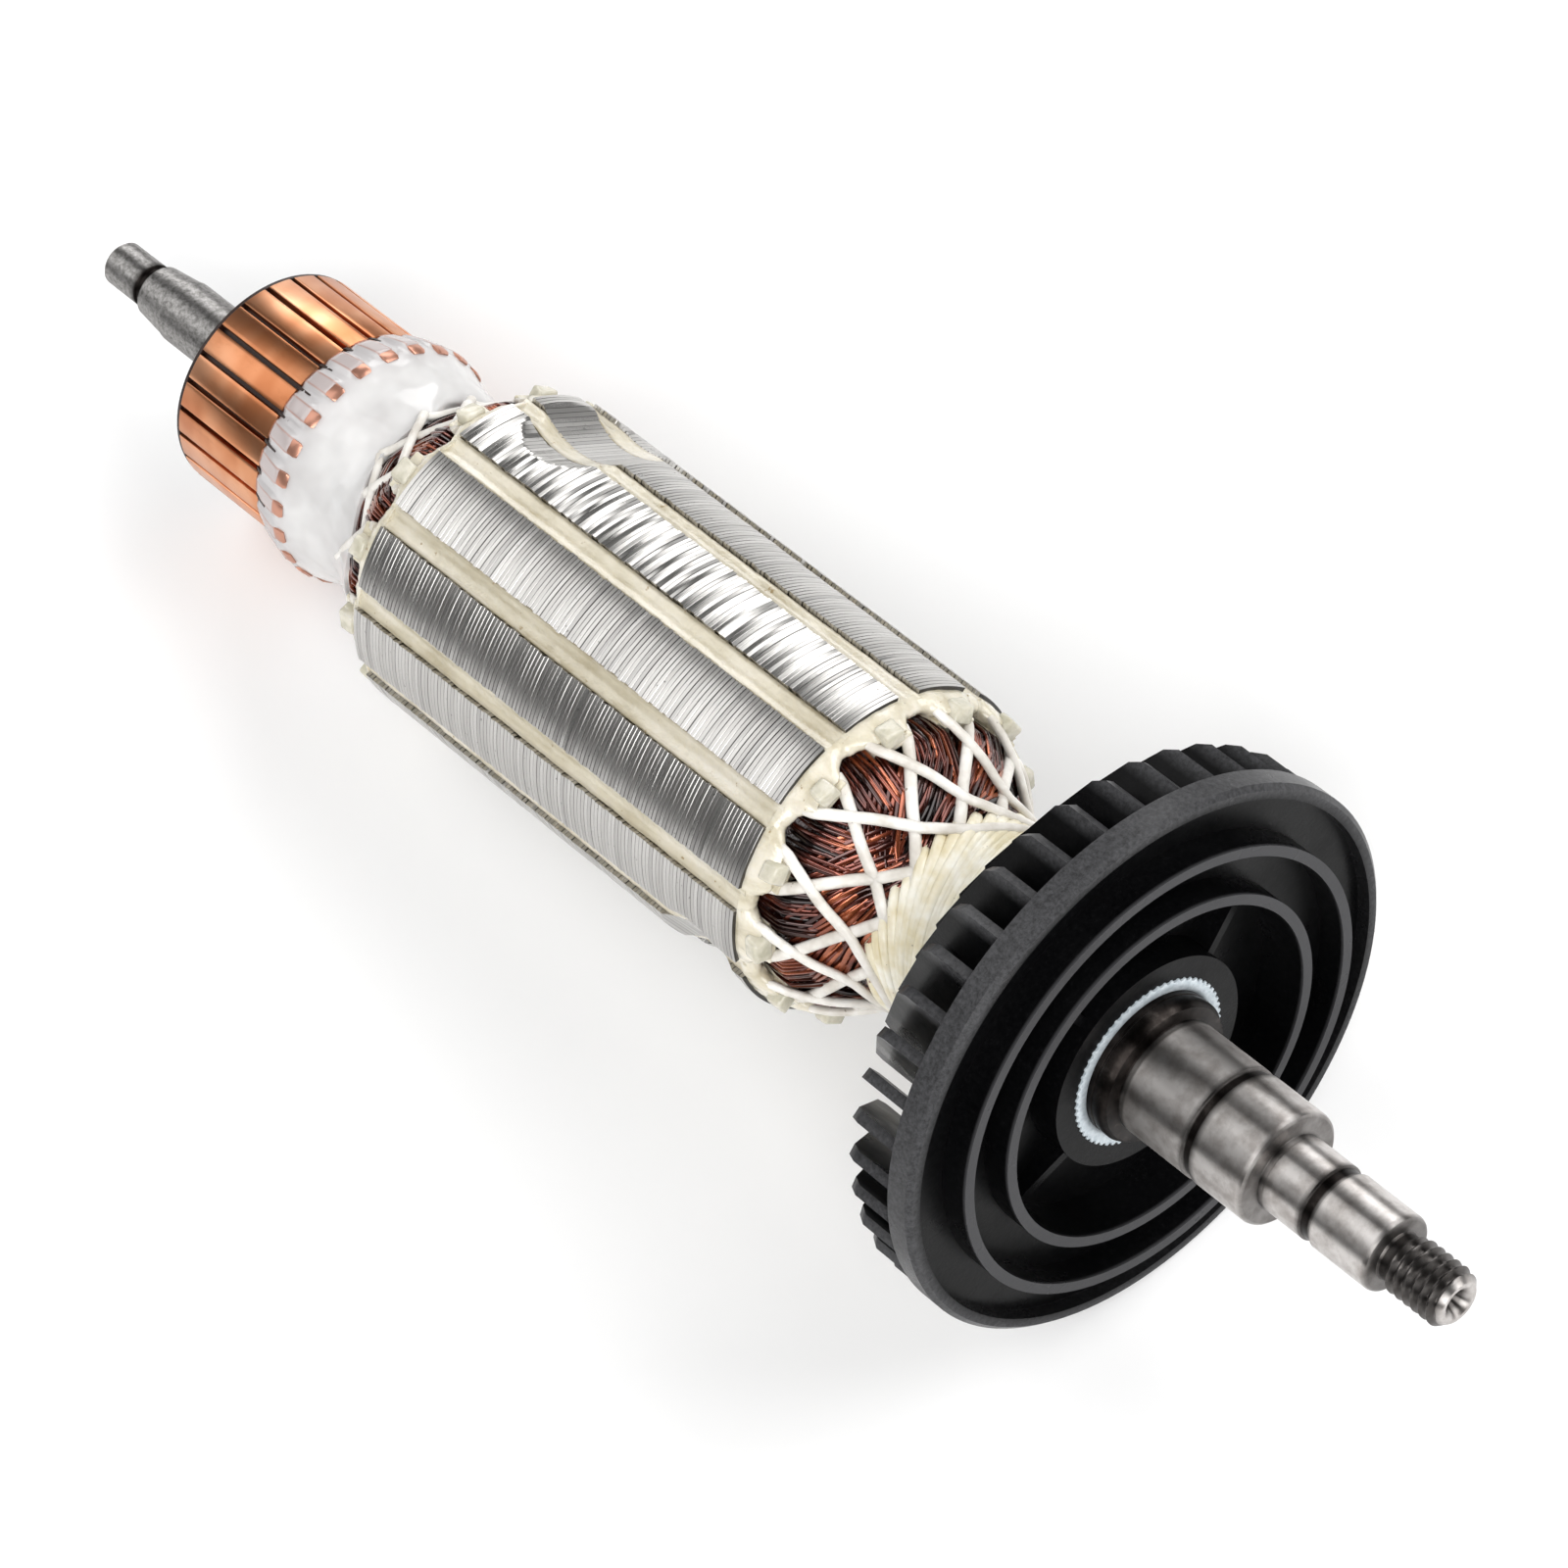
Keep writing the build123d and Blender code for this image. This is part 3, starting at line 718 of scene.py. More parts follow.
def laminated_core():
    outer = sheet_outline(0.0)
    inner = dict(zip([(round(x, 3), round(y, 3)) for x, y in outer], sheet_outline(GROOVE)))
    core = ring("laminated_core", 1, 0, len(outer))
    for vertex, (x, y) in zip(core.data.vertices, outer):
        vertex.co = (x, y, 0)
    edit(core)
    for rise in (GROOVE, SHEET_THICKNESS - 2 * GROOVE, GROOVE):
        bpy.ops.mesh.extrude_region_move(TRANSFORM_OT_translate={"value": (0, 0, rise)})
    done()
    for vertex in core.data.vertices:
        if vertex.co.z < GROOVE / 2 or vertex.co.z > SHEET_THICKNESS - GROOVE / 2:
            vertex.co.x, vertex.co.y = inner[round(vertex.co.x, 3), round(vertex.co.y, 3)]
    count = round(CORE_LENGTH / SHEET_THICKNESS)
    modify(core, "ARRAY", count=count, use_relative_offset=False, use_constant_offset=True,
           constant_offset_displace=(0, 0, SHEET_THICKNESS), use_merge_vertices=True, merge_threshold=0.001)
    offsets = [(random.gauss(0, 0.0022), random.gauss(0, 0.0007)) for _ in range(count + 1)]
    for vertex in core.data.vertices:
        turn, grow = offsets[int(vertex.co.z / SHEET_THICKNESS)]
        x, y, z = vertex.co
        x, y = (1 + grow) * (x - y * turn), (1 + grow) * (y + x * turn)
        vertex.co = milled((x, y, z))
    edit(core)
    bpy.ops.mesh.select_all(action="DESELECT")
    bpy.ops.mesh.select_mode(type="EDGE")
    bpy.ops.mesh.select_non_manifold()
    bpy.ops.mesh.edge_face_add()
    bpy.ops.mesh.select_all(action="SELECT")
    bpy.ops.mesh.normals_make_consistent(inside=False)
    done()
    smooth(core, 25)
    lay(core, "laminations", SHEET, "core_stack")


# Commutator


BAR_INNER = 8.5
BAR_GAP = 0.5


def bar_body():
    """One bar: a wedge with a turned face and lightly broken edges."""
    half = math.degrees(math.asin(BAR_GAP / 2 / COMMUTATOR_RADIUS))
    spread = BAR_PITCH / 2 - half
    points = [at_angle(COMMUTATOR_RADIUS, 0, -spread + 2 * spread * i / 6) for i in range(7)]
    inner = BAR_INNER * math.sin(math.radians(BAR_PITCH / 2)) - BAR_GAP / 2
    points += [(BAR_INNER, inner), (BAR_INNER, -inner)]
    bar = cut_out("bar", points, BAR_START, RISER)
    soften(bar, 0.1, 2, 40)
    return bar


TANG_LINE = [(-23.1, 11.2), (-22.3, 12.1), (-20.6, 12.65), (-19.0, 13.0), (-18.1, 13.12), (-17.5, 13.05),
             (-17.3, 12.9)]
TANG_HALF = 0.3


def commutator_ring():
    """The moulded flange that closes the outer ends of the bars."""
    line = [(8.6, BAR_START - 0.5), (11.85, BAR_START - 0.5), (12.02, BAR_START - 0.38), (12.04, BAR_START),
            (8.6, BAR_START)]
    ring_piece = turned("commutator_end_ring", line, 144, closed=True)
    smooth(ring_piece, 30)
    lay(ring_piece, "phenolic", PHENOLIC)


def tang():
    """The bar's own tongue, bent up and laid back over its wire; its end stands bare."""
    sections = []
    for i, (height, radius) in enumerate(TANG_LINE):
        (z0, r0), (z1, r1) = TANG_LINE[max(i - 1, 0)], TANG_LINE[min(i + 1, len(TANG_LINE) - 1)]
        slope = math.atan2(r1 - r0, z1 - z0)
        wide = 0.8 if i < len(TANG_LINE) - 1 else 0.68

        def section(share, radius=radius, height=height, slope=slope, wide=wide):
            a = 2 * math.pi * share
            across = wide * max(-1, min(1, 1.35 * math.cos(a)))
            up = TANG_HALF * max(-1, min(1, 1.5 * math.sin(a)))
            return Vector((radius + up * math.cos(slope), across, height - up * math.sin(slope)))

        sections.append(section)
    return rolled("tang", sections, 12)


def commutator_bars():
    bar = joined("commutator_copper", [bar_body(), tang()])
    smooth(bar, 30)
    for i, piece in enumerate(copies(bar, BARS, BAR_TURN)):
        number = (i % BARS) + 1
        piece.name = piece.data.name = f"copper_bar_{number:02d}"
        lay(piece, "copper", COPPER, f"commutator_bar_{number:02d}")


def saw_marks():
    """Soot in the ends of the saw cuts between the bars, which reach a little into the resin."""
    marks = []
    for k in range(BARS):
        turn = BAR_TURN + BAR_PITCH * (k + 0.5)
        reach = random.uniform(0.9, 2.6)
        top = RISER + reach
        outline = [(RISER - 0.3, 12.0), (RISER, 12.15), (RISER + 0.5, 12.35), (top, 12.2 + 0.27 * reach),
                   (top, 11.6)]
        mark = cut_out("mark", outline, -0.16, 0.16)
        for vertex in mark.data.vertices:
            z, r, across = vertex.co
            vertex.co = polar(r, turn + math.degrees(across * (0.5 if z > RISER + 0.6 else 1) / r), z)
        clean(mark)
        marks.append(mark)
    lay(joined("saw_cut_soot", marks), "phenolic", PHENOLIC)


# Resin over the leads


RESIN_LINE = [
    (11.5, -22.6), (12.0, -22.4), (12.3, -22.0), (12.55, -21.5), (12.75, -20.9), (12.9, -20.2),
    (13.0, -19.6), (13.08, -19.0), (13.1, -18.6), (13.12, -18.3), (13.1, -18.0), (13.05, -17.5),
    (12.92, -17.0), (12.75, -16.4), (12.5, -15.6), (12.25, -14.8), (12.02, -13.8), (11.86, -12.8),
    (11.77, -11.8), (11.85, -10.8), (12.08, -9.9), (12.4, -9.1), (12.85, -8.3),
]
RESIN_EDGE = {46: -11.4, 77: -9.6, 113: -9.4, 130: -8.0, 151: -6.0, 180: -6.4, 215: -8.0, 250: -7.0,
              285: -8.6, 320: -7.6, 350: -9.6, 406: -11.4}


def along_table(table, angle):
    """A value between the entries of a table of angles."""
    keys = sorted(table)
    angle = keys[0] + (angle - keys[0]) % 360
    for low, high in zip(keys, keys[1:]):
        if low <= angle <= high:
            share = (angle - low) / (high - low)
            share = share * share * (3 - 2 * share)
            return table[low] + share * (table[high] - table[low])
    return table[keys[0]]


# The wound heads are as wide as this beside the core, and for this long
HEAD_RADIUS = 14.9
HEAD_FLAT = 1.3


def rear_head_radius(height):
    """Radius of the wound head at the commutator end."""
    away = REAR_FACE - height
    if away < HEAD_FLAT:
        return HEAD_RADIUS
    return HEAD_RADIUS - (away - HEAD_FLAT) * 3.0 / 4.5


def resin_point(radius, height, angle):
    """Covers each tang thinly, sinks between them, and waves a little."""
    off = abs((angle - BAR_TURN + BAR_PITCH / 2) % BAR_PITCH - BAR_PITCH / 2)
    near = 1 - eased(off, 3.6, 5.8)
    cover = near * (1 - eased(height, TANG_BARE - 0.1, TANG_BARE + 0.4)) * eased(height, RISER, RISER + 0.3)
    radius += cover * max(0.0, between(TANG_LINE, height) + TANG_HALF + 0.09 - radius)
    radius -= 0.16 * (1 - near) * math.exp(-(((height + 20.2) / 1.6) ** 2))
    a = math.radians(angle)
    calm = eased(height, -18.0, -16.0)
    radius += calm * (0.12 * math.sin(5 * a + height) + 0.08 * math.sin(11 * a - 1.3 * height))
    radius += 0.1 * uneven(polar(radius, angle, height), 0.5)
    return polar(radius, angle, height)


def resin_skin():
    last = RESIN_LINE[-1][1]
    sections = []
    for radius, height in RESIN_LINE:

        def section(share, radius=radius, height=height):
            angle = 360 * share
            edge = along_table(RESIN_EDGE, angle)
            pull = max(0.0, (height + 13.0) / (last + 13.0)) ** 2
            z = height + pull * (edge - last)
            r = radius + pull * (rear_head_radius(edge) + 0.55 - 12.85)
            return resin_point(r, z, angle)

        sections.append(section)

    def lip(share):
        angle = 360 * share
        edge = along_table(RESIN_EDGE, angle) + 0.3
        return polar(rear_head_radius(edge) - 0.4, angle, edge)

    inside = [lambda share, z=z: polar(9.0, 360 * share, z) for z in (-12.0, RISER)]
    sections += [lip, *inside, sections[0]]
    skin = rolled("resin_skin", sections, 288, capped=False)
    smooth(skin, 60)
    lay(skin, "resin", RESIN, "resin_collar")


# Winding heads


def head_radius(direction, height):
    """Radius of the wound head at a height, on either side of the core."""
    if direction < 0:
        return rear_head_radius(height)
    away = height - FRONT_FACE
    if away < HEAD_FLAT:
        return HEAD_RADIUS
    if away < 7.1:
        return HEAD_RADIUS - (away - HEAD_FLAT) * 4.0 / 5.8
    return 10.9 - (away - 7.1) / 6.9


# Which way the end turns of each coil lean, from coil 1 on
LEANS = (-1, 1, 1, 1, -1, -1, -1, 1, -1, 1, 1, -1)
WIRE_HALF = 0.21
WIRE_PITCH = 0.47
WIRE_STEPS = 13


def wire_comb(count, length):
    """Straight wires side by side, before they are laid over a head."""
    sections = []
    for i in range(WIRE_STEPS + 1):
        x = length * (i / WIRE_STEPS - 0.5)

        def section(share, x=x):
            a = 2 * math.pi * share
            return Vector((x, WIRE_HALF * math.cos(a), WIRE_HALF * math.sin(a)))

        sections.append(section)
    comb = rolled("comb", sections, 6)
    modify(comb, "ARRAY", count=count, use_relative_offset=False, use_constant_offset=True,
           constant_offset_displace=(0, WIRE_PITCH, 0))
    return comb


COMBS = {}


def drape(direction, turn, away, slant, depth, count, length, seed, sink=1.3):
    """Lays a comb of wires slantwise over a head; its ends dive under the others."""
    if (count, length) not in COMBS:
        COMBS[count, length] = wire_comb(count, length)
    comb = COMBS[count, length]
    piece = placed("wires", comb.data.copy())
    lot = random.Random(seed)
    spans = ((-0.6, 0.6), (-0.09, 0.09), (-0.2, 0.16), (-4, 4))
    shift = [[lot.uniform(*span) for span in spans] for _ in range(count)]
    curl = lot.uniform(-2.0, 2.0)
    face = FRONT_FACE if direction > 0 else REAR_FACE
    for vertex in piece.data.vertices:
        run, across, up = vertex.co
        k = min(count - 1, max(0, round(across / WIRE_PITCH)))
        slide, sway, lift, skew = shift[k]
        across += sway - (count - 1) / 2 * WIRE_PITCH
        course = math.radians(slant + skew + curl * run)
        out = away + (run + slide) * math.cos(course) - across * math.sin(course)
        round_it = (run + slide) * math.sin(course) + across * math.cos(course)
        dive = sink * abs(2 * run / length) ** 4
        height = face + direction * out
        radius = head_radius(direction, face + direction * max(out, 0.0)) - depth + lift - dive + up
        vertex.co = polar(radius, turn + math.degrees(round_it / max(radius, 9.0)), height)
    return piece


def coil_wires(index):
    """The wires of one coil that show on both heads: dark ones that leave the slot, and the
    bundles that run over the heads, crossing at different depths."""
    turn = PITCH * index
    lean = LEANS[index]
    lot = random.Random(100 + index)
    wires = [
        drape(1, turn, 0.9, 8 * lean, -0.05, 11, 6.6, index, 0.3),
        drape(1, turn + 4 * lean, 4.0, lean * lot.uniform(50, 60), 0.1, 7, 8.6, 20 + index),
        drape(1, turn + 15 * lean, 4.9, lean * lot.uniform(56, 68), 0.26, 7, 8.6, 40 + index),
        drape(1, turn - 9 * lean, 3.6, lean * lot.uniform(44, 56), 0.42, 6, 6.6, 60 + index),
        drape(1, turn + 6 * lean, 7.4, lean * lot.uniform(60, 72), 0.2, 7, 8.6, 80 + index),
        drape(-1, turn, 0.8, 7 * lean, -0.05, 11, 5.2, 120 + index, 0.3),
        drape(-1, turn + 4 * lean, 2.6, lean * lot.uniform(48, 60), 0.1, 7, 7.0, 140 + index),
        drape(-1, turn - 8 * lean, 3.8, lean * lot.uniform(50, 64), 0.26, 8, 7.0, 160 + index),
        drape(-1, turn + 9 * lean, 5.6, lean * lot.uniform(56, 68), 0.15, 7, 7.0, 180 + index),
    ]
    piece = joined(f"coil_wires_{index + 1:02d}", wires)
    clean(piece, 0.0001)
    smooth(piece, 60)
    lay(piece, "enamelled_wire", WIRE)


def coil_core(index):
    """The body of the coil under its outer wires, drawn in a little so that they lie proud."""
    name = f"coil_{index + 1:02d}"
    core = copy_of(name, f"coil_body_{index + 1:02d}")
    modify(core, "DISPLACE", strength=-0.00055, mid_level=0.0)
    smooth(core, 40)
    # the coil body is near black, partly dark varnish and partly painted shade for the deeper wires
    dress(core, "enamelled_wire", VARNISH_AND_PAINTED_SHADE, name)


def winding():
    for index in range(TEETH):
        coil_core(index)
        coil_wires(index)
    for comb in COMBS.values():
        bpy.data.objects.remove(comb)


# Star plates and slot strips


def cream_lip(direction):
    """The edge of a star plate round the slot mouths: it runs down beside each slot in a Y, and its
    rim is chipped unevenly."""
    start = CORE_LENGTH - 0.05 if direction > 0 else 0.05
    sections = []
    for i in range(361):
        angle = i % 360
        off = abs((angle + PITCH / 2) % PITCH - PITCH / 2)
        chips = uneven(polar(17, angle, 40 * direction), 0.75) * 0.55
        chips += uneven(polar(17, angle, 9), 2.2) * 0.2
        reach = 1.25 + (1.5 if direction > 0 else 0.5) * eased(off, 2.0, 9.5)
        reach += chips * (1 - 0.6 * eased(off, 9.0, 12.0))
        outer = 17.3 - 0.1 * uneven(polar(17, angle, 3), 0.9) - 0.12 * (1 - eased(off, 1.0, 5.0))

        def section(share, angle=angle, reach=reach, outer=outer):
            line = [
                (15.4, 0.0), (outer, 0.0), (outer - 0.02, 0.22 * reach), (outer - 0.16, 0.5 * reach),
                (outer - 0.5, 0.84 * reach), (outer - 0.85, reach), (outer - 1.25, 0.97 * reach),
                (15.5, 0.7 * reach),
            ]
            radius, away = line[round(share * 8) % 8]
            return polar(radius, angle, start + direction * away)

        sections.append(section)
    end = "front" if direction > 0 else "rear"
    lip = rolled(f"star_plate_lip_{end}", sections, 8, capped=False)
    smooth(lip, 50)
    lay(lip, "insulation", CREAM)


SADDLE_TOP = 16.1


def softened_plate(end):
    """A star plate with the worn edges of its moulding."""
    plate = copy_of(f"end_plate_{end}", f"star_plate_{end}")
    plate.data.transform(LIE.inverted())
    for vertex in plate.data.vertices:
        radius = math.hypot(vertex.co.x, vertex.co.y)
        if radius > SADDLE_TOP:
            vertex.co.x *= SADDLE_TOP / radius
            vertex.co.y *= SADDLE_TOP / radius
    plate.data.transform(LIE)
    modify(plate, "BEVEL", width=0.00025, segments=2, limit_method="ANGLE", angle_limit=math.radians(30))
    smooth(plate, 40)
    modify(plate, "WEIGHTED_NORMAL", weight=100, keep_sharp=True)
    dress(plate, "insulation", CREAM, f"end_plate_{end}")


def varnish_drops(direction):
    """The glazed hook at the middle of each tooth end that holds the lacing."""
    start = CORE_LENGTH if direction > 0 else 0.0
    drops = []
    for k in range(TEETH):
        nothing_selected()
        bpy.ops.mesh.primitive_cube_add(size=1)
        drop = name_piece("drop")
        wide, high = random.uniform(2.2, 2.6), random.uniform(1.8, 2.2)
        middle = (2.45 if direction > 0 else 1.95) + random.uniform(-0.15, 0.2)
        for vertex in drop.data.vertices:
            x, y, z = vertex.co
            taper = 1 - 0.12 * (x + 0.5)
            x = 1.9 * x + random.uniform(-0.15, 0.1)
            y = wide * y * taper + random.uniform(-0.24, 0.24)
            z = high * z * taper + random.uniform(-0.24, 0.24)
            vertex.co = (x, y, z)
        soften(drop, 0.34, 3, 20)
        turn = PITCH * (k + 0.5) + random.uniform(-0.6, 0.6)
        for vertex in drop.data.vertices:
            x, y, z = vertex.co
            bulge = 0.12 * uneven((x, y, z + k), 1.1, k)
            u, v = at_angle(16.55 + x + bulge, y + bulge, turn)
            vertex.co = (u, v, start + direction * (middle + z))
        drops.append(drop)
    end = "front" if direction > 0 else "rear"
    piece = joined(f"varnish_drops_{end}", drops)
    clean(piece, 0.0005)
    smooth(piece, 50)
    lay(piece, "resin", GLUE)


STRIP_START = -0.5
STRIP_LINE = [
    (15.2, -2.36), (16.35, -1.34), (16.9, -1.3), (17.14, -1.27), (17.24, -1.08), (17.18, -0.8),
    (16.95, -0.4), (16.86, 0.0), (16.92, 0.5), (17.1, 0.85), (17.2, 1.1), (17.12, 1.27), (16.9, 1.3),
    (16.35, 1.34), (15.2, 2.36),
]


def slot_strips():
    """Strips that close the slots, pressed in and varnished: hollow, with raised, shining edges."""
    strips = []
    count = 90
    for k in range(TEETH):
        sections = []
        for i in range(count + 1):
            z = STRIP_START + (CORE_LENGTH - 2 * STRIP_START) * i / count

            def section(share, z=z, k=k):
                u, v = STRIP_LINE[round(share * len(STRIP_LINE)) % len(STRIP_LINE)]
                if u > 16.8:
                    u += 0.09 * uneven((k * 7, v, 0.35 * z), 0.8) + 0.05 * uneven((k * 3, 2 * v, z), 1.5)
                x, y = at_angle(u, v, PITCH * k)
                return milled((x, y, z))

            sections.append(section)
        strips.append(rolled("strip", sections, len(STRIP_LINE)))
    piece = joined("slot_strips", strips)
    smooth(piece, 50)
    lay(piece, "closure_strip", CREAM, "slot_closures")


# Shaft


THREAD_START = 127.2
THREAD_PITCH = 1.0
THREAD_DEPTH = 0.61
THREAD_RADIUS = 3.0


def groove_line(radius, start, width, depth=0.25):
    """The line of a turned groove with slightly sloping sides."""
    floor = radius - depth
    return [(radius, start), (floor, start + 0.08), (floor, start + width - 0.08), (radius, start + width)]


def shaft_line():
    """The turned line of the shaft up to its thread, as (radius, height)."""
    return [
        (0, -61.2), (1.9, -61.2), (2.2, -61.12), (2.45, -60.8), (2.45, -60.6), (2.45, -56.0),
        (2.45, -55.85), (2.38, -55.8), (2.2, -55.75), (2.2, -55.05), (2.5, -54.95), (2.9, -54.6),
        (3.35, -50.75), (3.5, -50.2), (3.5, -49.9), (3.5, -36.3), (3.9, -35.9), (5.5, -35.9),
        (5.5, 84.0), (7.45, 84.0), (7.6, 84.15), (7.6, 84.4), (7.6, 94.35), (7.5, 94.42), (7.5, 94.6),
        (7.6, 94.67), (7.6, 95.45), (7.42, 95.8), (7.2, 96.1), (6.3, 96.1), (6.0, 96.2), (5.94, 96.4),
        (5.94, 96.75), (6.0, 96.85), (6.0, 97.0), (6.0, 104.25), *groove_line(6.0, 104.4, 1.1),
        (6.0, 105.65), (6.0, 111.4), (6.0, 111.6), (5.9, 111.9), (5.6, 112.1), (4.25, 112.1),
        (4.0, 112.2), (3.93, 112.4), (3.93, 112.8), (4.0, 112.9), (4.0, 113.05), (4.0, 117.25),
        *groove_line(4.0, 117.4, 1.5), (4.0, 119.05), (4.0, 125.25), (4.0, 125.45), (3.88, 125.75),
        (3.6, 125.9), (2.6, 125.9), (2.45, 126.1), (2.45, 126.7), (2.6, 127.0),
    ]


def thread_radius(share, height):
    """A metric thread that runs out of the neck and ends in a chamfer."""
    phase = (height / THREAD_PITCH - share) % 1.0
    off = 2 * min(phase, 1 - phase)
    cut = THREAD_DEPTH * max(0.0, min(1.0, (off - 0.12) / 0.68))
    radius = THREAD_RADIUS - cut
    radius = min(radius, 2.55 + 1.2 * (height - 127.0))
    return min(radius, THREAD_RADIUS - 1.0 * max(0.0, height - (SHAFT_END - 0.85)))


def turned_shaft():
    sections = [lambda share, r=r, z=z: polar(r, 360 * share, z) for r, z in shaft_line()]
    steps = 52
    for i in range(steps + 1):
        z = THREAD_START + (SHAFT_END - THREAD_START) * i / steps
        sections.append(lambda share, z=z: polar(thread_radius(share, z), 360 * share, z))
    for r, z in ((1.75, SHAFT_END), (1.3, SHAFT_END - 0.3), (0.9, SHAFT_END - 1.1), (0, SHAFT_END - 2.4)):
        sections.append(lambda share, r=r, z=z: polar(r, 360 * share, z))
    shaft = rolled("turned_shaft", sections, 72, capped=False)
    smooth(shaft, 32)
    lay(shaft, "steel", STEEL, "shaft")


def knurled_bush():
    """The metal bush in the fan hub: its knurled edge bites the moulding."""
    teeth = 64
    outer = 8.85

    def ring_at(radius, z, bite=0.0):
        def section(share):
            side = 1 if round(share * teeth * 4) % 4 < 2 else -1
            return polar(radius + bite * side, 360 * share, z)

        return section

    line = [ring_at(7.62, 86.0), ring_at(outer, 86.0), ring_at(outer, 93.2), ring_at(outer, 93.78, 0.15),
            ring_at(outer - 0.03, 93.95, 0.13), ring_at(outer - 0.3, 94.0), ring_at(7.85, 94.0),
            ring_at(7.62, 93.85)]
    bush = rolled("knurled_bush", line + line[:1], teeth * 4, capped=False)
    smooth(bush, 35)
    lay(bush, "zinc", ZINC, "fan_bush")


def moulded_fan():
    """The fan with the small edge rounds of its mould."""
    fan = copy_of("fan", "moulded_fan")
    modify(fan, "BEVEL", width=0.00016, segments=2, limit_method="ANGLE", angle_limit=math.radians(32))
    smooth(fan, 38)
    modify(fan, "WEIGHTED_NORMAL", weight=100, keep_sharp=True)
    dress(fan, "fan_nylon", NYLON, "fan")


# Lacing


FRONT_HULL = [(57.0, 17.0), (58.5, 16.7), (60.0, 16.1), (61.5, 15.2), (63.0, 14.1), (64.5, 12.8),
              (66.0, 11.9), (69.0, 11.2), (73.0, 10.9)]
REAR_HULL = [(-12.0, 11.8), (-9.0, 12.4), (-8.2, 12.9), (-6.5, 13.9), (-5.0, 14.8), (-3.5, 15.7),
             (-2.0, 16.4), (0, 17.0)]


def laid_cord(name, line, width=1.22, thick=0.9):
    """A flat cord through (radius, angle, height) points, its flat side on the winding."""
    points = [polar(*p) for p in line]
    sections = []
    for i, point in enumerate(points):
        before, after = points[max(i - 1, 0)], points[min(i + 1, len(points) - 1)]
        run = (after - before).normalized()
        out = Vector((point.x, point.y, 0)).normalized()
        side = run.cross(out).normalized()
        up = side.cross(run).normalized()

        def section(share, point=point, side=side, up=up):
            a = 2 * math.pi * share
            return point + side * (width / 2 * math.cos(a)) + up * (thick / 2 * math.sin(a))

        sections.append(section)
    return rolled(name, sections, 10)


def spread_line(keys, steps):
    """A smooth run through (share, value) pairs, as Catmull-Rom."""
    values = []
    for i in range(steps + 1):
        x = keys[0][0] + (keys[-1][0] - keys[0][0]) * i / steps
        for k in range(len(keys) - 1):
            if x <= keys[k + 1][0] + 1e-9:
                break
        p0, p1, p2, p3 = (keys[max(min(k + j, len(keys) - 1), 0)] for j in (-1, 0, 1, 2))
        t = (x - p1[0]) / (p2[0] - p1[0])
        span = p2[0] - p1[0]
        m1 = (p2[1] - p0[1]) / (p2[0] - p0[0]) * span
        m2 = (p3[1] - p1[1]) / (p3[0] - p1[0]) * span
        value = ((2 * t**3 - 3 * t**2 + 1) * p1[1] + (t**3 - 2 * t**2 + t) * m1
                 + (-2 * t**3 + 3 * t**2) * p2[1] + (t**3 - t**2) * m2)
        values.append((x, value))
    return values


# How far a cord lies inside the hull of the head, and how much deeper the lower one of a pair
CORD_SINK = 0.42
CORD_UNDER = 0.5

CROSS_REAR = [(1.9, -7.5), (2.9, -6.0), (4.2, 0.0), (6.0, 8.0), (8.0, 18.0), (10.0, 30.0)]
CROSS_FRONT = [(58.3, -7.5), (59.4, -6.2), (61.7, 0.0), (64.3, 10.0), (66.5, 20.0), (68.9, 36.0),
               (70.6, 60.0), (71.8, 92.0), (72.8, 132.0)]


def lacing(end, hull, keys, facing, steps, **size):
    """Pairs of cords that cross beside each tooth, one over the other. Their run is counted along the
    shaft, backwards at the commutator end."""
    pieces = []
    for k in range(TEETH):
        centre = PITCH / 2 + PITCH * k
        first = 1 if 110 < centre < 290 else -1
        for sign in (1, -1):
            line = []
            for away, turn in spread_line(keys, steps):
                height = facing * away
                depth = CORD_SINK if sign == first else CORD_SINK + CORD_UNDER
                line.append((between(hull, height) - depth, sign * turn, height))
            cord = laid_cord("cord", line, **size)
            cord.data.transform(Matrix.Rotation(math.radians(centre), 4, "Z"))
            pieces.append(cord)
    cords = joined(f"lacing_cords_{end}", pieces)
    smooth(cords, 50)
    lay(cords, "cord", CORD, f"lacing_{end}")


NECK_RUN = [(64.8, 0.0), (66.6, 6.0), (68.4, 18.0), (70.0, 36.0), (71.6, 62.0), (73.4, 98.0), (76.0, 150.0),
            (79.5, 210.0)]


def neck_strands():
    """Cord that runs on from the crossings to the fan, strand beside strand, soaked in varnish."""
    pieces = []
    count = 30
    for k in range(count):
        slip = random.uniform(-0.9, 0.9)
        sink = random.uniform(0.0, 0.3)
        line = []
        for height, turn in spread_line(NECK_RUN, 54):
            radius = between(FRONT_HULL, height) - 2.7 - sink + 2.25 * eased(height, 64.8, 68.8)
            line.append((radius, 360 * k / count + turn + slip * (height - 64), height + 0.6 * slip))
        pieces.append(laid_cord("strand", line, random.uniform(1.0, 1.3), 0.85))
    strands = joined("neck_strands", pieces)
    smooth(strands, 50)
    lay(strands, "cord", SOAKED_CORD)


def neck_wraps():
    """Cord wound round the neck of the head and soaked in varnish."""
    pieces = []
    count = 10
    for k in range(count):
        line = []
        start = random.uniform(0, 360)
        for i in range(73):
            angle = start + 400 * i / 72
            height = 75.2 + 0.55 * k + 0.6 * math.sin(math.radians(angle + 40 * k))
            radius = between(FRONT_HULL, height) - 0.75 + 0.12 * uneven(polar(10, angle, 5 * k), 0.4)
            line.append((radius, angle, height))
        pieces.append(laid_cord("wrap", line, 1.15, 0.8))
    wraps = joined("neck_wraps", pieces)
    smooth(wraps, 50)
    lay(wraps, "cord", SOAKED_CORD)


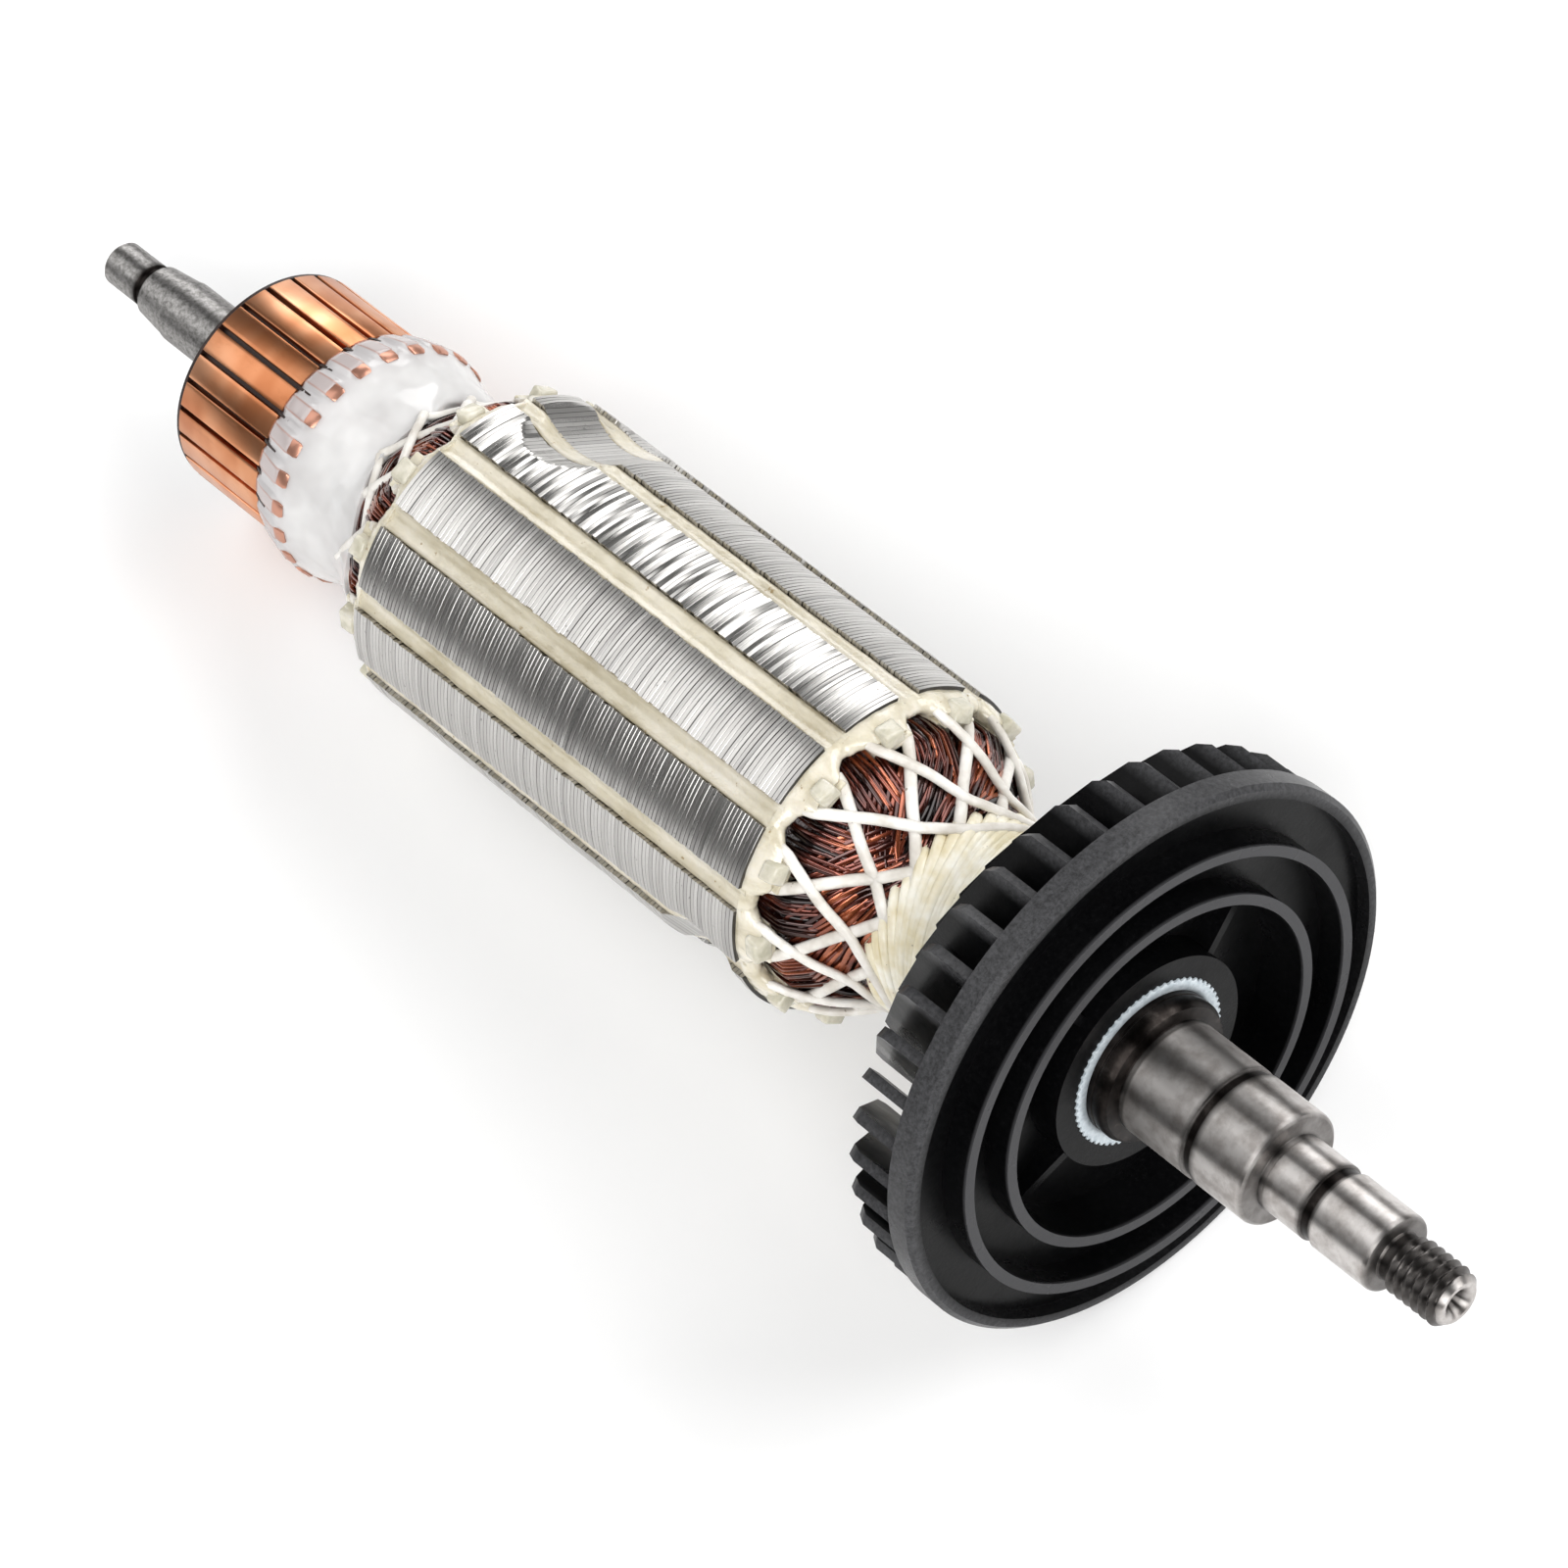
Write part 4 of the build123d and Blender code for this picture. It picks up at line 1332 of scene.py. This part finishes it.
laminated_core()
commutator_bars()
commutator_ring()
saw_marks()
resin_skin()
winding()
for end in (1, -1):
    cream_lip(end)
    varnish_drops(end)
softened_plate("front")
softened_plate("rear")
slot_strips()
lacing("front", FRONT_HULL, CROSS_FRONT, 1, 50)
neck_strands()
neck_wraps()
lacing("rear", REAR_HULL, CROSS_REAR, -1, 22, width=1.0, thick=0.7)
turned_shaft()
knurled_bush()
moulded_fan()


# Table, light and camera


def set_stage():
    low = cad_box[0][2]
    bpy.ops.mesh.primitive_plane_add(size=6, location=(0, 0, low))
    floor = name_piece("floor")
    bpy.ops.object.transform_apply(location=True)
    material, surface = finish("paper_matt_white", Base_Color="#FCFCFC", Roughness=0.9)
    floor.data.materials.append(material)


def soft_light(name, place, target, width, length, power):
    data = bpy.data.lights.new(name, "AREA")
    data.shape = "RECTANGLE"
    data.size, data.size_y, data.energy = width, length, power
    lamp = placed(name, data)
    away = Vector(place) - Vector(target)
    lamp.rotation_euler = away.to_track_quat("Z", "X").to_euler()
    lamp.location = place


def set_light():
    world = bpy.data.worlds.new("studio")
    bpy.context.scene.world = world
    world.use_nodes = True
    sky = world.node_tree.nodes["Background"]
    sky.inputs["Color"].default_value = grey(1.0)
    sky.inputs["Strength"].default_value = 0.13
    soft_light("key_softbox", (-0.65, -0.26, 0.71), (0, 0, 0), 1.1, 0.6, 3.4)
    soft_light("back_softbox", (-0.78, 0.8, 0.46), (0, 0, 0), 0.5, 0.7, 4.0)
    soft_light("front_softbox", (0.9, -0.9, 1.1), (0, 0, 0), 1.2, 1.2, 26)
    soft_light("side_softbox", (0.6, 1.0, 1.0), (0, 0, 0), 1.2, 1.2, 17)


def set_camera():
    data = bpy.data.cameras.new("camera")
    data.sensor_fit = "HORIZONTAL"
    data.sensor_width = 36
    data.lens = 157.5
    data.clip_start, data.clip_end = 0.05, 20
    camera = placed("camera", data)
    camera.location = (0.301506, -0.173098, 0.576040)
    camera.rotation_euler = [math.radians(a) for a in (30.79706, 7.69529, 46.90645)]
    bpy.context.scene.camera = camera


set_stage()
set_light()
set_camera()
bpy.context.scene.view_settings.view_transform = "Standard"
